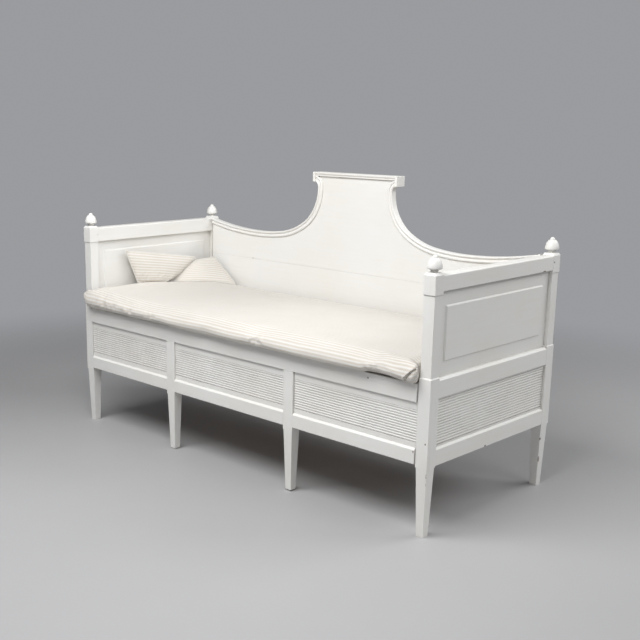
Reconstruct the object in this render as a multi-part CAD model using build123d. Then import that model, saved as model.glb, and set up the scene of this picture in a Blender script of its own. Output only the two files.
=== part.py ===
from build123d import *
import math
import os

# A painted Swedish bench bed. Its front pulls out on two middle legs, with slats that lie between the
# fixed ones, and makes the bench a wider bed. All sizes are in millimetres.
# X runs along the bench, -Y is the front and Z is up. The origin is on the floor, in the middle of the whole.

# ---- the whole bench
post_span_x = 1794  # between the axes of the corner posts, along the bench
post_span_y = 707  # between the axes of the corner posts, front to back
seat_height = 498.5  # underside of the slats

# ---- corner posts
foot_side = 27
leg_top_side = 41
leg_height = 234
leg_step = 6  # slope from the leg out to the thick part
thick_side = 46
thick_rise = 6  # of the thick part above the seat rail
thick_slope = 4  # slope from the thick part in to the thin part
thin_side = 40
block_side = 46
block_bottom = 800
block_height = 70
block_crown_height = 8  # slope in to the flat top
block_crown_inset = 5
block_rounding = 2

# ---- finials
finial_diameter = 49.5
finial_neck_diameter = 24
finial_neck_height = 10
finial_dome_height = 35.5
finial_edge = 5  # rounding at the foot of the dome
finial_roundness = 0.68  # 1 for a square shoulder, 0 for a pointed one
finial_button_diameter = 18
finial_button_height = 9.5
spigot_diameter = 14
spigot_length = 25

# ---- joinery
joint_clearance = 0.2  # all round a tenon, tongue or spigot
tenon_thickness = 12
tenon_length = 16
tenon_shoulder = 8  # above and below a tenon
tongue_thickness = 8
tongue_depth = 6
peg_diameter = 6
peg_setback = 6  # from the shoulder of the tenon to the peg's axis

# ---- ends, between the front and back posts
top_rail_height = 59
top_rail_drop = 8  # top of the rail below the top of the block
top_rail_thickness = 44
top_rail_rounding = 5  # of its upper edges
top_rail_rebate_height = 8  # under its outer edge, over the panel
top_rail_rebate_depth = 12
seat_rail_rise = 32.5  # above the seat height
seat_rail_height = 64
bottom_rail_rise = 8  # lower edge above the top of the legs
bottom_rail_height = 60
low_rail_thickness = 34
low_rail_setback = 0.5  # outer face behind the face of the thick post
rail_bevel_width = 7
rail_bevel_height = 7
field_panel_thickness = 12
field_raise = 5
field_bevel = 5
field_margin_front = 40
field_margin_low = 47
field_margin_high = 42

# ---- reeded panels
reeded_thickness = 13
reeded_recess = 8  # crest of the reeds behind the face of the rails
reed_width = 9.2  # a whole number of reeds near this width fills each panel
reed_depth = 3
end_reed_margin_low = 6
end_reed_margin_high = 8

# ---- back
board_thickness = 20
board_seam_height = 697
board_gap = 6  # between the ends of the boards and the blocks of the posts
board_tongue_rise = 15  # into the block of the post
back_seat_rail_rise = 1.5  # above the seat height
back_rail_height = 60
back_rail_thickness = 25
lower_panel_thickness = 10
neck_half_width = 197
neck_drop = 48  # from the cap down to the neck
flare_radius = 28
flare_turn = 60
moulding_flare_turn = 84  # the moulding turns on until it meets the cap
sweep_radii = (185, 330, 900)  # from the neck down into the dip
sweep_turns = (58, 81, 90)  # turn from the vertical at the end of each radius
rise_radius = 1500  # from the dip up to the post
moulding_width = 25
moulding_edge = 6
moulding_bead = 8.5
moulding_hollow = 3.5
moulding_quirk = 6
cap_half_length = 224
cap_bottom = 1090
cap_height = 17
cap_front_reach = 11  # in front of the boards
cap_back_reach = 19  # behind the boards
cap_undercut = 4
cap_return_height = 24

# ---- front that pulls out
front_proud = 5.8  # face of the front before the face of the thick posts
front_thickness = 25
front_top_rail_height = 44  # below the seat height
front_top_rail_rise = 16  # above the seat height, before the ends of the slats
front_bottom_rail_rise = 14  # lower edge above the top of the corner legs
front_bottom_rail_height = 54
top_rail_gap = 2.5  # between the top rail's ends and the posts
low_front_gap = 2  # between the ends of the lower pieces and the posts
mid_leg_left = -338
mid_leg_right = 314
mid_leg_side = 46
mid_leg_depth = 44
mid_leg_taper_top = 230
mid_leg_floor_gap = 4
front_reed_margin_low = 17
front_reed_margin_high = 27
front_tenon_thickness = 10
front_tenon_length = 12
leg_tenon_height = 22
pull_out_travel = 480

# ---- slats and what carries them
slat_thickness = 18
slat_width = 60
slat_count = 17
slide_gap = 0.3
front_batten_depth = 22  # behind the front, under the ends of the slats
front_batten_height = 30
ledger_depth = 25
ledger_height = 32
bearer_thickness = 25
bearer_height = 45
bearer_gap = 3
rear_beam_depth = 40
rear_beam_clearance = 22
runner_depth = 25
runner_height = 30
runner_front_gap = 2
cleat_thickness = 20
cleat_gap = 4
stop_depth = 28
stop_length = 30
screw_diameter = 4
screw_head_diameter = 8
screw_head_height = 2.5
screw_length = 38

# ---- mattress and pillows
mattress_thickness = 63
mattress_reach = 70  # before the axes of the front posts
mattress_side_gap = 6
mattress_back_gap = 3  # behind it, to the moulding of the back
spill_left = 31  # past the inner face of the left post, in front of it
spill_right = 11
spill_gap = 3
end_pillow_length = 380
end_pillow_height = 170
end_pillow_thickness = 52
end_pillow_back = 140  # from its back edge to the face of the back boards
end_pillow_upright = 50  # height up to which its face stands upright
end_pillow_top_thickness = 31
corner_pillow_length = 300  # from the back boards to its front tip
corner_pillow_reach = 200  # out from the end along the back
corner_pillow_height = 105
corner_pillow_edge = 10  # height of its lower edge
corner_pillow_end = 35  # width of its far end
corner_pillow_top = 12  # width of its top edge
soft_gap = 0.3

# ---- worked out from the sizes above
half_span_x = post_span_x / 2
finial_radius = finial_diameter / 2
front_axis = -(post_span_y + finial_radius - mattress_reach) / 2
back_axis = front_axis + post_span_y
block_top = block_bottom + block_height
thick_half = thick_side / 2
block_half = block_side / 2
inner_block_face = half_span_x - block_half
inner_thick_face = half_span_x - thick_half
seat_rail_top = seat_height + seat_rail_rise
seat_rail_bottom = seat_rail_top - seat_rail_height
bottom_rail_bottom = leg_height + bottom_rail_rise
bottom_rail_top = bottom_rail_bottom + bottom_rail_height
top_rail_top = block_top - top_rail_drop
top_rail_bottom = top_rail_top - top_rail_height
thick_top = seat_rail_top + thick_rise
back_seat_rail_top = seat_height + back_seat_rail_rise
board_tongue_top = block_bottom + board_tongue_rise
neck_height = cap_bottom - neck_drop
board_face = back_axis - thin_side / 2
board_back = board_face + board_thickness
board_half_length = inner_block_face - board_gap
front_face = front_axis - thick_half - front_proud
front_back_face = front_face + front_thickness
front_top_rail_bottom = seat_height - front_top_rail_height
front_bottom_rail_bottom = leg_height + front_bottom_rail_rise
front_bottom_rail_top = front_bottom_rail_bottom + front_bottom_rail_height
top_rail_half_length = inner_thick_face - top_rail_gap
low_front_half_length = inner_thick_face - low_front_gap
fixed_slat_bottom = seat_height + slide_gap
mattress_bottom = fixed_slat_bottom + slat_thickness + slide_gap
mattress_top = mattress_bottom + mattress_thickness
bearer_outer = inner_thick_face - bearer_gap
bearer_inner = bearer_outer - bearer_thickness
slat_pitch = (2 * bearer_inner - slat_width) / (slat_count - 1)
bearer_bottom = seat_height - bearer_height
runner_top = bearer_bottom - slide_gap
ledger_front = board_face - ledger_depth
rear_beam_back = ledger_front - rear_beam_clearance
rear_beam_front = rear_beam_back - rear_beam_depth


# ---- small helpers
def brick(x_span, y_span, z_span, grown=0.0):
    """A box between two corners, larger by grown on every side."""
    spans = [(min(s) - grown, max(s) + grown) for s in (x_span, y_span, z_span)]
    middle = [(low + high) / 2 for low, high in spans]
    size = [high - low for low, high in spans]
    return Pos(*middle) * Box(*size)


def prism(points, direction):
    """A prism over a closed outline of points, along a direction."""
    return extrude(make_face(Polyline(*points, close=True)), amount=Vector(*direction).length, dir=direction)


def square(side, x, y, z):
    return Pos(x, y, z) * Rectangle(side, side)


def save(name, shape):
    shape.label = name
    export_step(shape, f"parts/{name}.step")


def end_name(side):
    return "right" if side > 0 else "left"


# ---- joints of the ends: each is a bar or plate that runs through the piece and into its neighbours
def end_tenon(side, bottom, top, grown=0.0):
    x = side * half_span_x
    return brick(
        (x - tenon_thickness / 2, x + tenon_thickness / 2),
        (front_axis + thick_half - tenon_length, back_axis - thick_half + tenon_length),
        (bottom + tenon_shoulder, top - tenon_shoulder),
        grown,
    )


def end_rail_heights():
    return (
        (top_rail_bottom, top_rail_top),
        (seat_rail_bottom, seat_rail_top),
        (bottom_rail_bottom, bottom_rail_top),
    )


def field_tongue(side, grown=0.0):
    x = side * half_span_x
    return brick(
        (x - tongue_thickness / 2, x + tongue_thickness / 2),
        (front_axis + thin_side / 2 - tongue_depth, back_axis - thin_side / 2 + tongue_depth),
        (seat_rail_top - tongue_depth, top_rail_bottom + tongue_depth),
        grown,
    )


def end_reed_face(side):
    return side * (half_span_x + thick_half - low_rail_setback - reeded_recess)


def end_reeded_tongue(side, grown=0.0):
    back = end_reed_face(side) - side * reeded_thickness
    return brick(
        (back, back + side * tongue_thickness),
        (front_axis + thick_half - tongue_depth, back_axis - thick_half + tongue_depth),
        (bottom_rail_top - tongue_depth, seat_rail_bottom + tongue_depth),
        grown,
    )


# ---- joints of the back
def back_tenon(bottom, top, grown=0.0):
    middle = board_face + back_rail_thickness / 2
    reach = inner_thick_face + tenon_length
    return brick(
        (-reach, reach),
        (middle - front_tenon_thickness / 2, middle + front_tenon_thickness / 2),
        (bottom + tenon_shoulder, top - tenon_shoulder),
        grown,
    )


def back_rail_heights():
    return (
        (back_seat_rail_top - back_rail_height, back_seat_rail_top),
        (bottom_rail_bottom, bottom_rail_bottom + back_rail_height),
    )


def back_tongue(bottom, top, grown=0.0):
    middle = board_face + board_thickness / 2
    reach = half_span_x - thin_side / 2 + tongue_depth
    return brick(
        (-reach, reach),
        (middle - tongue_thickness / 2, middle + tongue_thickness / 2),
        (bottom, top),
        grown,
    )


def lower_panel_plate(grown=0.0):
    middle = board_face + back_rail_thickness / 2
    reach = inner_thick_face + tongue_depth
    return brick(
        (-reach, reach),
        (middle - lower_panel_thickness / 2, middle + lower_panel_thickness / 2),
        (
            bottom_rail_bottom + back_rail_height - tongue_depth,
            back_seat_rail_top - back_rail_height + tongue_depth,
        ),
        grown,
    )


# ---- pegs through the tenons
def end_pegs(radius):
    """Pegs driven from inside the bench through both tenons of every end rail."""
    length = thick_half + tenon_thickness
    front_y = front_axis + thick_half - peg_setback
    back_y = back_axis - thick_half + peg_setback
    return [
        Pos(side * (half_span_x - thick_half + length / 2), y, (bottom + top) / 2)
        * Rot(0, 90, 0)
        * Cylinder(radius, length)
        for side in (-1, 1)
        for y in (front_y, back_y)
        for bottom, top in end_rail_heights()
    ]


def back_pegs(radius):
    """Pegs driven from behind through the tenons of the back rails."""
    back = back_axis + thick_half
    front = board_face + back_rail_thickness / 2 - front_tenon_thickness / 2
    return [
        Pos(side * (inner_thick_face + peg_setback), (front + back) / 2, (bottom + top) / 2)
        * Rot(90, 0, 0)
        * Cylinder(radius, back - front)
        for side in (-1, 1)
        for bottom, top in back_rail_heights()
    ]


def peg_holes():
    radius = peg_diameter / 2 + joint_clearance / 2
    return end_pegs(radius) + back_pegs(radius)


# ---- corner posts and finials
def plain_post(x, y):
    leg = loft([square(foot_side, x, y, 0), square(leg_top_side, x, y, leg_height)])
    step_top = leg_height + leg_step
    step = loft([square(leg_top_side, x, y, leg_height), square(thick_side, x, y, step_top)])
    slope_bottom = thick_top - thick_slope
    thick = extrude(square(thick_side, x, y, step_top), amount=slope_bottom - step_top)
    slope = loft([square(thick_side, x, y, slope_bottom), square(thin_side, x, y, thick_top)])
    thin = extrude(square(thin_side, x, y, thick_top), amount=block_bottom - thick_top)
    crown_bottom = block_top - block_crown_height
    block = extrude(square(block_side, x, y, block_bottom), amount=crown_bottom - block_bottom)
    block += loft([
        square(block_side, x, y, crown_bottom),
        square(block_side - 2 * block_crown_inset, x, y, block_top),
    ])
    block = fillet(block.edges(), block_rounding)
    return leg + step + thick + slope + thin + block


def corner_post(side, y, is_back):
    x = side * half_span_x
    post = plain_post(x, y)
    cuts = [end_tenon(side, bottom, top, joint_clearance) for bottom, top in end_rail_heights()]
    cuts += [field_tongue(side, joint_clearance), end_reeded_tongue(side, joint_clearance)]
    hole_radius = spigot_diameter / 2 + joint_clearance / 2
    hole_depth = spigot_length + 1
    cuts.append(Pos(x, y, block_top - hole_depth / 2) * Cylinder(hole_radius, hole_depth))
    if is_back:
        cuts += [back_tenon(bottom, top, joint_clearance) for bottom, top in back_rail_heights()]
        cuts.append(back_tongue(back_seat_rail_top, board_tongue_top, joint_clearance))
        cuts.append(lower_panel_plate(joint_clearance))
    return post - cuts - peg_holes()


def finial(x, y):
    """An acorn on a thin neck with a round button on top, turned in one piece with its spigot."""
    neck = finial_neck_diameter / 2
    spigot = spigot_diameter / 2
    button = finial_button_diameter / 2
    dome_bottom = finial_neck_height
    dome_top = dome_bottom + finial_dome_height
    tip = dome_top + finial_button_height
    button_foot = math.sqrt(button**2 - (finial_button_height - button) ** 2)
    edge = finial_edge
    outline = Plane.XZ * (
        Polyline((0, -spigot_length), (spigot, -spigot_length), (spigot, 0), (neck, 0))
        + Line((neck, 0), (neck, dome_bottom))
        + Line((neck, dome_bottom), (finial_radius - edge, dome_bottom))
        + ThreePointArc(
            (finial_radius - edge, dome_bottom),
            (finial_radius - edge / 3, dome_bottom + edge / 3),
            (finial_radius, dome_bottom + edge),
        )
        + Bezier(
            (finial_radius, dome_bottom + edge),
            (finial_radius, dome_bottom + finial_dome_height / 2),
            (finial_radius * finial_roundness, dome_top),
            (button_foot, dome_top),
        )
        + ThreePointArc((button_foot, dome_top), (button, tip - button), (0, tip))
        + Line((0, tip), (0, -spigot_length))
    )
    return Pos(x, y, block_top) * revolve(make_face(outline), axis=Axis.Z)


# ---- rails of the ends
def end_top_rail(side):
    x = side * half_span_x
    half = top_rail_thickness / 2
    y_span = (front_axis + block_half, back_axis - block_half)
    rail = brick((x - half, x + half), y_span, (top_rail_bottom, top_rail_top))
    rail = fillet(rail.edges().filter_by(Axis.Y).group_by(Axis.Z)[-1], top_rail_rounding)
    rail -= brick(
        (x + side * half, x + side * (half - top_rail_rebate_depth)),
        y_span,
        (top_rail_bottom, top_rail_bottom + top_rail_rebate_height),
    )
    rail += end_tenon(side, top_rail_bottom, top_rail_top)
    return rail - field_tongue(side, joint_clearance) - end_pegs(peg_diameter / 2 + joint_clearance / 2)


def bevelled_end_rail(side, bottom, top):
    """A rail with a bevel along the upper outer edge."""
    outer = side * (half_span_x + thick_half - low_rail_setback)
    inner = outer - side * low_rail_thickness
    y0, y1 = front_axis + thick_half, back_axis - thick_half
    outline = [
        (inner, y0, bottom),
        (outer, y0, bottom),
        (outer, y0, top - rail_bevel_height),
        (outer - side * rail_bevel_width, y0, top),
        (inner, y0, top),
    ]
    rail = prism(outline, (0, y1 - y0, 0)) + end_tenon(side, bottom, top)
    return rail - end_pegs(peg_diameter / 2 + joint_clearance / 2)


def end_seat_rail(side):
    rail = bevelled_end_rail(side, seat_rail_bottom, seat_rail_top)
    return rail - field_tongue(side, joint_clearance) - end_reeded_tongue(side, joint_clearance)


def end_bottom_rail(side):
    rail = bevelled_end_rail(side, bottom_rail_bottom, bottom_rail_top)
    return rail - end_reeded_tongue(side, joint_clearance)


# ---- panels
def end_field_panel(side):
    """A panel whose raised field has a bevel all round, on both faces."""
    x = side * half_span_x
    y0, y1 = front_axis + thin_side / 2, back_axis - thin_side / 2
    half = field_panel_thickness / 2
    z0 = seat_rail_top + joint_clearance
    z1 = top_rail_bottom - joint_clearance
    plate = brick((x - half, x + half), (y0 + joint_clearance, y1 - joint_clearance), (z0, z1))
    # the plate steps back from the thick part and the block of each post
    for y in (front_axis, back_axis):
        x_span = (x - half, x + half)
        plate -= brick(x_span, (y - thick_half, y + thick_half), (z0, thick_top), joint_clearance)
        plate -= brick(x_span, (y - block_half, y + block_half), (block_bottom, z1), joint_clearance)
    middle_y = (y0 + y1) / 2
    middle_z = (seat_rail_top + field_margin_low + top_rail_bottom - field_margin_high) / 2
    length = y1 - y0 - 2 * field_margin_front
    height = top_rail_bottom - seat_rail_top - field_margin_low - field_margin_high
    for face in (-1, 1):
        base = Plane((x + face * half, middle_y, middle_z), x_dir=(0, 1, 0), z_dir=(face, 0, 0))
        plate += loft([
            base * Rectangle(length, height),
            base.offset(field_raise) * Rectangle(length - 2 * field_bevel, height - 2 * field_bevel),
        ])
    return plate + field_tongue(side)


def reeded_outline(bottom, top, low_margin, high_margin, to_point):
    """The section of a reeded board. to_point takes the depth behind the crests, and the height."""
    first = bottom + low_margin
    reeded_height = top - high_margin - first
    count = max(1, round(reeded_height / reed_width))
    pitch = reeded_height / count
    outline = Polyline(
        to_point(reed_depth, first),
        to_point(0, first),
        to_point(0, bottom),
        to_point(reeded_thickness, bottom),
        to_point(reeded_thickness, top),
        to_point(0, top),
        to_point(0, top - high_margin),
        to_point(reed_depth, top - high_margin),
    )
    for i in range(count):
        low = first + i * pitch
        high = low + pitch
        crest = to_point(0, (low + high) / 2)
        outline += ThreePointArc(to_point(reed_depth, low), crest, to_point(reed_depth, high))
    return make_face(outline)


def end_reeded_panel(side):
    y0 = front_axis + thick_half + joint_clearance
    y1 = back_axis - thick_half - joint_clearance
    face = reeded_outline(
        bottom_rail_top + joint_clearance,
        seat_rail_bottom - joint_clearance,
        end_reed_margin_low,
        end_reed_margin_high,
        lambda depth, z: (end_reed_face(side) - side * depth, y0, z),
    )
    return extrude(face, amount=y1 - y0, dir=(0, 1, 0)) + end_reeded_tongue(side)


# ---- the back
def sweep_points():
    """Points and middle points of the arcs from the neck of the hump down, then up to the post."""
    x, z, turned = neck_half_width, neck_height, 0.0
    arcs = []
    rise = math.degrees(math.asin((board_half_length - dip_place()) / rise_radius))
    for radius, turn in zip(sweep_radii + (rise_radius,), sweep_turns + (90 + rise,)):
        a, b = math.radians(turned), math.radians(turn)
        centre = (x + radius * math.cos(a), z + radius * math.sin(a))
        middle, end = [
            (centre[0] - radius * math.cos(t), centre[1] - radius * math.sin(t)) for t in ((a + b) / 2, b)
        ]
        arcs.append(((x, z), middle, end))
        x, z, turned = end[0], end[1], turn
    return arcs, turned


def dip_place():
    """How far from the middle the lowest point of the sweep lies."""
    x, turned = neck_half_width, 0.0
    for radius, turn in zip(sweep_radii, sweep_turns):
        x += radius * (math.cos(math.radians(turned)) - math.cos(math.radians(turn)))
        turned = turn
    return x


def flare_arc(turn=flare_turn):
    centre = (neck_half_width + flare_radius, neck_height)
    middle, end = [
        (centre[0] - flare_radius * math.cos(t), centre[1] + flare_radius * math.sin(t))
        for t in (math.radians(turn / 2), math.radians(turn))
    ]
    return (neck_half_width, neck_height), middle, end


def curve_edges(side, y, turn=flare_turn):
    """The shaped edge of the back, from the post to the top of the flare."""
    arcs, _ = sweep_points()
    order = [(end, middle, start) for start, middle, end in reversed(arcs)] + [flare_arc(turn)]
    return [ThreePointArc(*[(side * px, y, pz) for px, pz in arc]) for arc in order]


def half_upper_board():
    arcs, _ = sweep_points()
    post_end = arcs[-1][2]
    flare_end = flare_arc()[2]
    y = board_face
    outline = Polyline(
        (flare_end[0], y, flare_end[1]),
        (flare_end[0], y, cap_bottom),
        (0, y, cap_bottom),
        (0, y, board_seam_height),
        (board_half_length, y, board_seam_height),
        (post_end[0], y, post_end[1]),
    )
    for edge in curve_edges(1, y):
        outline += edge
    return extrude(make_face(outline), amount=board_thickness, dir=(0, 1, 0))


def back_upper_board():
    half = half_upper_board()
    return half + mirror(half, about=Plane.YZ) + back_tongue(board_seam_height, board_tongue_top)


def back_lower_board():
    board = brick(
        (-board_half_length, board_half_length),
        (board_face, board_back),
        (back_seat_rail_top, board_seam_height),
    )
    return board + back_tongue(back_seat_rail_top, board_seam_height)


def back_moulding(side):
    """Three beads that follow the shaped edge, planted on the face of the board."""
    arcs, turned = sweep_points()
    start = arcs[-1][2]
    angle = math.radians(turned)
    plane = Plane(
        origin=(start[0], board_face, start[1]),
        x_dir=(-math.cos(angle), 0, -math.sin(angle)),
        z_dir=(-math.sin(angle), 0, math.cos(angle)),
    )
    third = moulding_width / 3
    profile = (
        Polyline((0, 0), (0, moulding_edge))
        + ThreePointArc((0, moulding_edge), (third / 2, moulding_bead), (third, moulding_edge))
        + ThreePointArc((third, moulding_edge), (1.5 * third, moulding_hollow), (2 * third, moulding_quirk))
        + ThreePointArc(
            (2 * third, moulding_quirk), (2.6 * third, moulding_quirk), (moulding_width, moulding_hollow)
        )
        + Polyline((moulding_width, moulding_hollow), (moulding_width, 0), (0, 0))
    )
    path = Wire([edge.edge() for edge in curve_edges(1, board_face, moulding_flare_turn)])
    moulding = sweep(plane * make_face(profile), path=path)
    if side < 0:
        moulding = mirror(moulding, about=Plane.YZ)
    x_span = (side * board_half_length, side * half_span_x)
    post_room = brick(x_span, cap_y_span(), (board_seam_height, block_top))
    return moulding - back_cap() - post_room


def cap_y_span():
    return (board_face - cap_front_reach, board_back + cap_back_reach)


def back_cap():
    """A slab on the hump with a hollow below its front and back edge, and a return down at each end."""
    y0, y1 = cap_y_span()
    top = cap_bottom + cap_height
    middle = cap_bottom + cap_height / 2
    outline = [
        (-cap_half_length, y0 + cap_undercut, cap_bottom),
        (-cap_half_length, y0 + cap_undercut, middle - cap_undercut / 2),
        (-cap_half_length, y0, middle + cap_undercut / 2),
        (-cap_half_length, y0, top),
        (-cap_half_length, y1, top),
        (-cap_half_length, y1, middle + cap_undercut / 2),
        (-cap_half_length, y1 - cap_undercut, middle - cap_undercut / 2),
        (-cap_half_length, y1 - cap_undercut, cap_bottom),
    ]
    cap = prism(outline, (2 * cap_half_length, 0, 0))
    flare_end = flare_arc()[2]
    for side in (-1, 1):
        cap += brick(
            (side * flare_end[0], side * cap_half_length),
            (y0, y1),
            (cap_bottom - cap_return_height, cap_bottom + cap_height),
        )
    return cap


def back_rail(bottom, top):
    y_span = (board_face, board_face + back_rail_thickness)
    rail = brick((-inner_thick_face, inner_thick_face), y_span, (bottom, top))
    rail += back_tenon(bottom, top)
    return rail - lower_panel_plate(joint_clearance) - back_pegs(peg_diameter / 2 + joint_clearance / 2)


# ---- the front that pulls out
def mid_legs():
    return (("left", mid_leg_left), ("right", mid_leg_right))


def leg_tenon(x, grown=0.0):
    middle = (front_face + front_back_face) / 2
    return brick(
        (x - mid_leg_side / 2 + tenon_shoulder, x + mid_leg_side / 2 - tenon_shoulder),
        (middle - front_tenon_thickness / 2, middle + front_tenon_thickness / 2),
        (front_top_rail_bottom - tenon_shoulder, front_top_rail_bottom + leg_tenon_height),
        grown,
    )


def front_bays():
    """The three stretches of the front between its ends and the middle legs, with the tongues' reach."""
    half = mid_leg_side / 2
    return (
        ("left", -low_front_half_length, mid_leg_left - half, 0, 1),
        ("middle", mid_leg_left + half, mid_leg_right - half, 1, 1),
        ("right", mid_leg_right + half, low_front_half_length, 1, 0),
    )


def front_rail_tenon(x0, x1, left, right, grown=0.0):
    middle = (front_face + front_back_face) / 2
    return brick(
        (x0 - left * front_tenon_length, x1 + right * front_tenon_length),
        (middle - front_tenon_thickness / 2, middle + front_tenon_thickness / 2),
        (front_bottom_rail_bottom + tenon_shoulder, front_bottom_rail_top - tenon_shoulder - tongue_depth),
        grown,
    )


def front_panel_tongue(x0, x1, left, right, grown=0.0):
    back = front_face + reeded_recess + reeded_thickness
    return brick(
        (x0 - left * tongue_depth, x1 + right * tongue_depth),
        (back - tongue_thickness, back),
        (front_bottom_rail_top - tongue_depth, front_top_rail_bottom + tongue_depth),
        grown,
    )


def front_top_rail():
    rail = brick(
        (-top_rail_half_length, top_rail_half_length),
        (front_face, front_back_face),
        (front_top_rail_bottom, seat_height + front_top_rail_rise),
    )
    cuts = [leg_tenon(x, joint_clearance) for _, x in mid_legs()]
    cuts += [front_panel_tongue(*bay[1:], joint_clearance) for bay in front_bays()]
    return rail - cuts


def front_bottom_rail(x0, x1, left, right):
    top = front_bottom_rail_top
    outline = [
        (x0, front_back_face, front_bottom_rail_bottom),
        (x0, front_back_face, top),
        (x0, front_face + rail_bevel_width, top),
        (x0, front_face, top - rail_bevel_height),
        (x0, front_face, front_bottom_rail_bottom),
    ]
    rail = prism(outline, (x1 - x0, 0, 0)) + front_rail_tenon(x0, x1, left, right)
    return rail - front_panel_tongue(x0, x1, left, right, joint_clearance)


def front_reeded_panel(x0, x1, left, right):
    start = x0 + left * joint_clearance
    end = x1 - right * joint_clearance
    face = reeded_outline(
        front_bottom_rail_top + joint_clearance,
        front_top_rail_bottom - joint_clearance,
        front_reed_margin_low,
        front_reed_margin_high,
        lambda depth, z: (start, front_face + reeded_recess + depth, z),
    )
    return extrude(face, amount=end - start, dir=(1, 0, 0)) + front_panel_tongue(x0, x1, left, right)


def mid_leg(x):
    """A stile of the front that runs down as a tapered leg."""
    y = front_face + mid_leg_depth / 2
    step_top = mid_leg_taper_top + leg_step

    def section(width, depth, z):
        return Pos(x, y, z) * Rectangle(width, depth)

    leg = loft([
        section(foot_side, foot_side, mid_leg_floor_gap),
        section(leg_top_side, leg_top_side, mid_leg_taper_top),
    ])
    leg += loft([
        section(leg_top_side, leg_top_side, mid_leg_taper_top),
        section(mid_leg_side, mid_leg_depth, step_top),
    ])
    leg += extrude(section(mid_leg_side, mid_leg_depth, step_top), amount=front_top_rail_bottom - step_top)
    leg += leg_tenon(x)
    cuts = [front_rail_tenon(*bay[1:], joint_clearance) for bay in front_bays()]
    cuts += [front_panel_tongue(*bay[1:], joint_clearance) for bay in front_bays()]
    return leg - cuts


def end_cleat(side):
    """An upright batten behind the outer end of the front."""
    return brick(
        (side * bearer_inner, side * bearer_outer),
        (front_back_face, front_back_face + cleat_thickness),
        (front_bottom_rail_bottom + cleat_gap, runner_top - runner_height - cleat_gap),
    )


def side_bearer(side):
    x_span = (side * bearer_inner, side * bearer_outer)
    return brick(x_span, (front_back_face, rear_beam_back), (bearer_bottom, seat_height))


def front_slat_batten():
    """A batten behind the front top rail. Its own slats are screwed to it, and the fixed ones rest on it."""
    return brick(
        (-bearer_inner, bearer_inner),
        (front_back_face, front_back_face + front_batten_depth),
        (seat_height - front_batten_height, seat_height),
    )


def rear_beam():
    x_span = (-bearer_inner, bearer_inner)
    return brick(x_span, (rear_beam_front, rear_beam_back), (bearer_bottom, seat_height))


def beam_stop(side):
    """A block under the end of the rear beam."""
    return brick(
        (side * (bearer_inner - stop_depth), side * bearer_inner),
        (rear_beam_front, rear_beam_back),
        (runner_top - runner_height, bearer_bottom),
    )


def runner(side):
    """A batten on the inner faces of the posts, that the side bearer rides on."""
    return brick(
        (side * inner_thick_face, side * (inner_thick_face - runner_depth)),
        (front_back_face + runner_front_gap, board_face),
        (runner_top - runner_height, runner_top),
    )


def runner_stop(side):
    """A block on the runner's face that the beam stop meets when the front is fully out."""
    meets = rear_beam_front - pull_out_travel - slide_gap
    face = inner_thick_face - runner_depth
    return brick(
        (side * face, side * (bearer_inner - stop_depth)),
        (meets - stop_length, meets),
        (runner_top - runner_height, runner_top),
    )


# ---- slats and their screws
def slat_places(first):
    """Middle of every second slat along the bench."""
    start = -(slat_count - 1) / 2 * slat_pitch
    return [start + i * slat_pitch for i in range(first, slat_count, 2)]


def slat(x, y_span, bottom, screw_ys):
    board = brick((x - slat_width / 2, x + slat_width / 2), y_span, (bottom, bottom + slat_thickness))
    cuts = [screw(x, y, bottom + slat_thickness, joint_clearance) for y in screw_ys]
    return board - cuts


def screw(x, y, head_top, grown=0.0):
    """A countersunk screw, head flush with the slat."""
    head = Pos(x, y, head_top - screw_head_height / 2) * Cone(
        screw_diameter / 2 + grown, screw_head_diameter / 2 + grown, screw_head_height
    )
    shank = Pos(x, y, head_top - screw_head_height - (screw_length - screw_head_height) / 2) * Cylinder(
        screw_diameter / 2 + grown, screw_length - screw_head_height
    )
    return head + shank


def pull_out_slat_screw_rows():
    return (front_back_face + front_batten_depth / 2, (rear_beam_front + rear_beam_back) / 2)


def fixed_slat_screw_row():
    return ((ledger_front + board_face) / 2,)


def pull_out_slats():
    y_span = (front_back_face, rear_beam_back)
    return Compound([slat(x, y_span, seat_height, pull_out_slat_screw_rows()) for x in slat_places(0)])


def fixed_slats():
    y_span = (front_back_face + slide_gap, board_face)
    return Compound([slat(x, y_span, fixed_slat_bottom, fixed_slat_screw_row()) for x in slat_places(1)])


def screws(places, rows, head_top):
    return Compound([screw(x, y, head_top) for x in places for y in rows])


def screw_pockets(places, rows, head_top):
    return [screw(x, y, head_top, joint_clearance / 2) for x in places for y in rows]


def slat_ledger():
    return brick(
        (-inner_thick_face, inner_thick_face),
        (ledger_front, board_face),
        (fixed_slat_bottom - ledger_height, fixed_slat_bottom),
    )


# ---- mattress and pillows
def mattress():
    """A thin mattress that hangs over the front, with its front corners before the posts."""
    half = inner_block_face - mattress_side_gap
    back = board_face - moulding_bead - mattress_back_gap
    notch = front_axis - finial_radius - spill_gap
    front = front_axis - mattress_reach
    points = [
        (-half, back), (half, back), (half, notch), (inner_thick_face + spill_right, notch),
        (inner_thick_face + spill_right, front), (-inner_thick_face - spill_left, front),
        (-inner_thick_face - spill_left, notch), (-half, notch),
    ]
    outline = [(x, y, mattress_bottom) for x, y in points]
    return prism(outline, (0, 0, mattress_thickness))


def pillow_wall():
    """Where the pillows lean, at the inner face of the left top rail."""
    return -(half_span_x - top_rail_thickness / 2 - mattress_side_gap)


def pillow_back():
    return board_face - moulding_bead - mattress_back_gap


def pillow_bottom():
    return mattress_top + soft_gap


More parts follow.
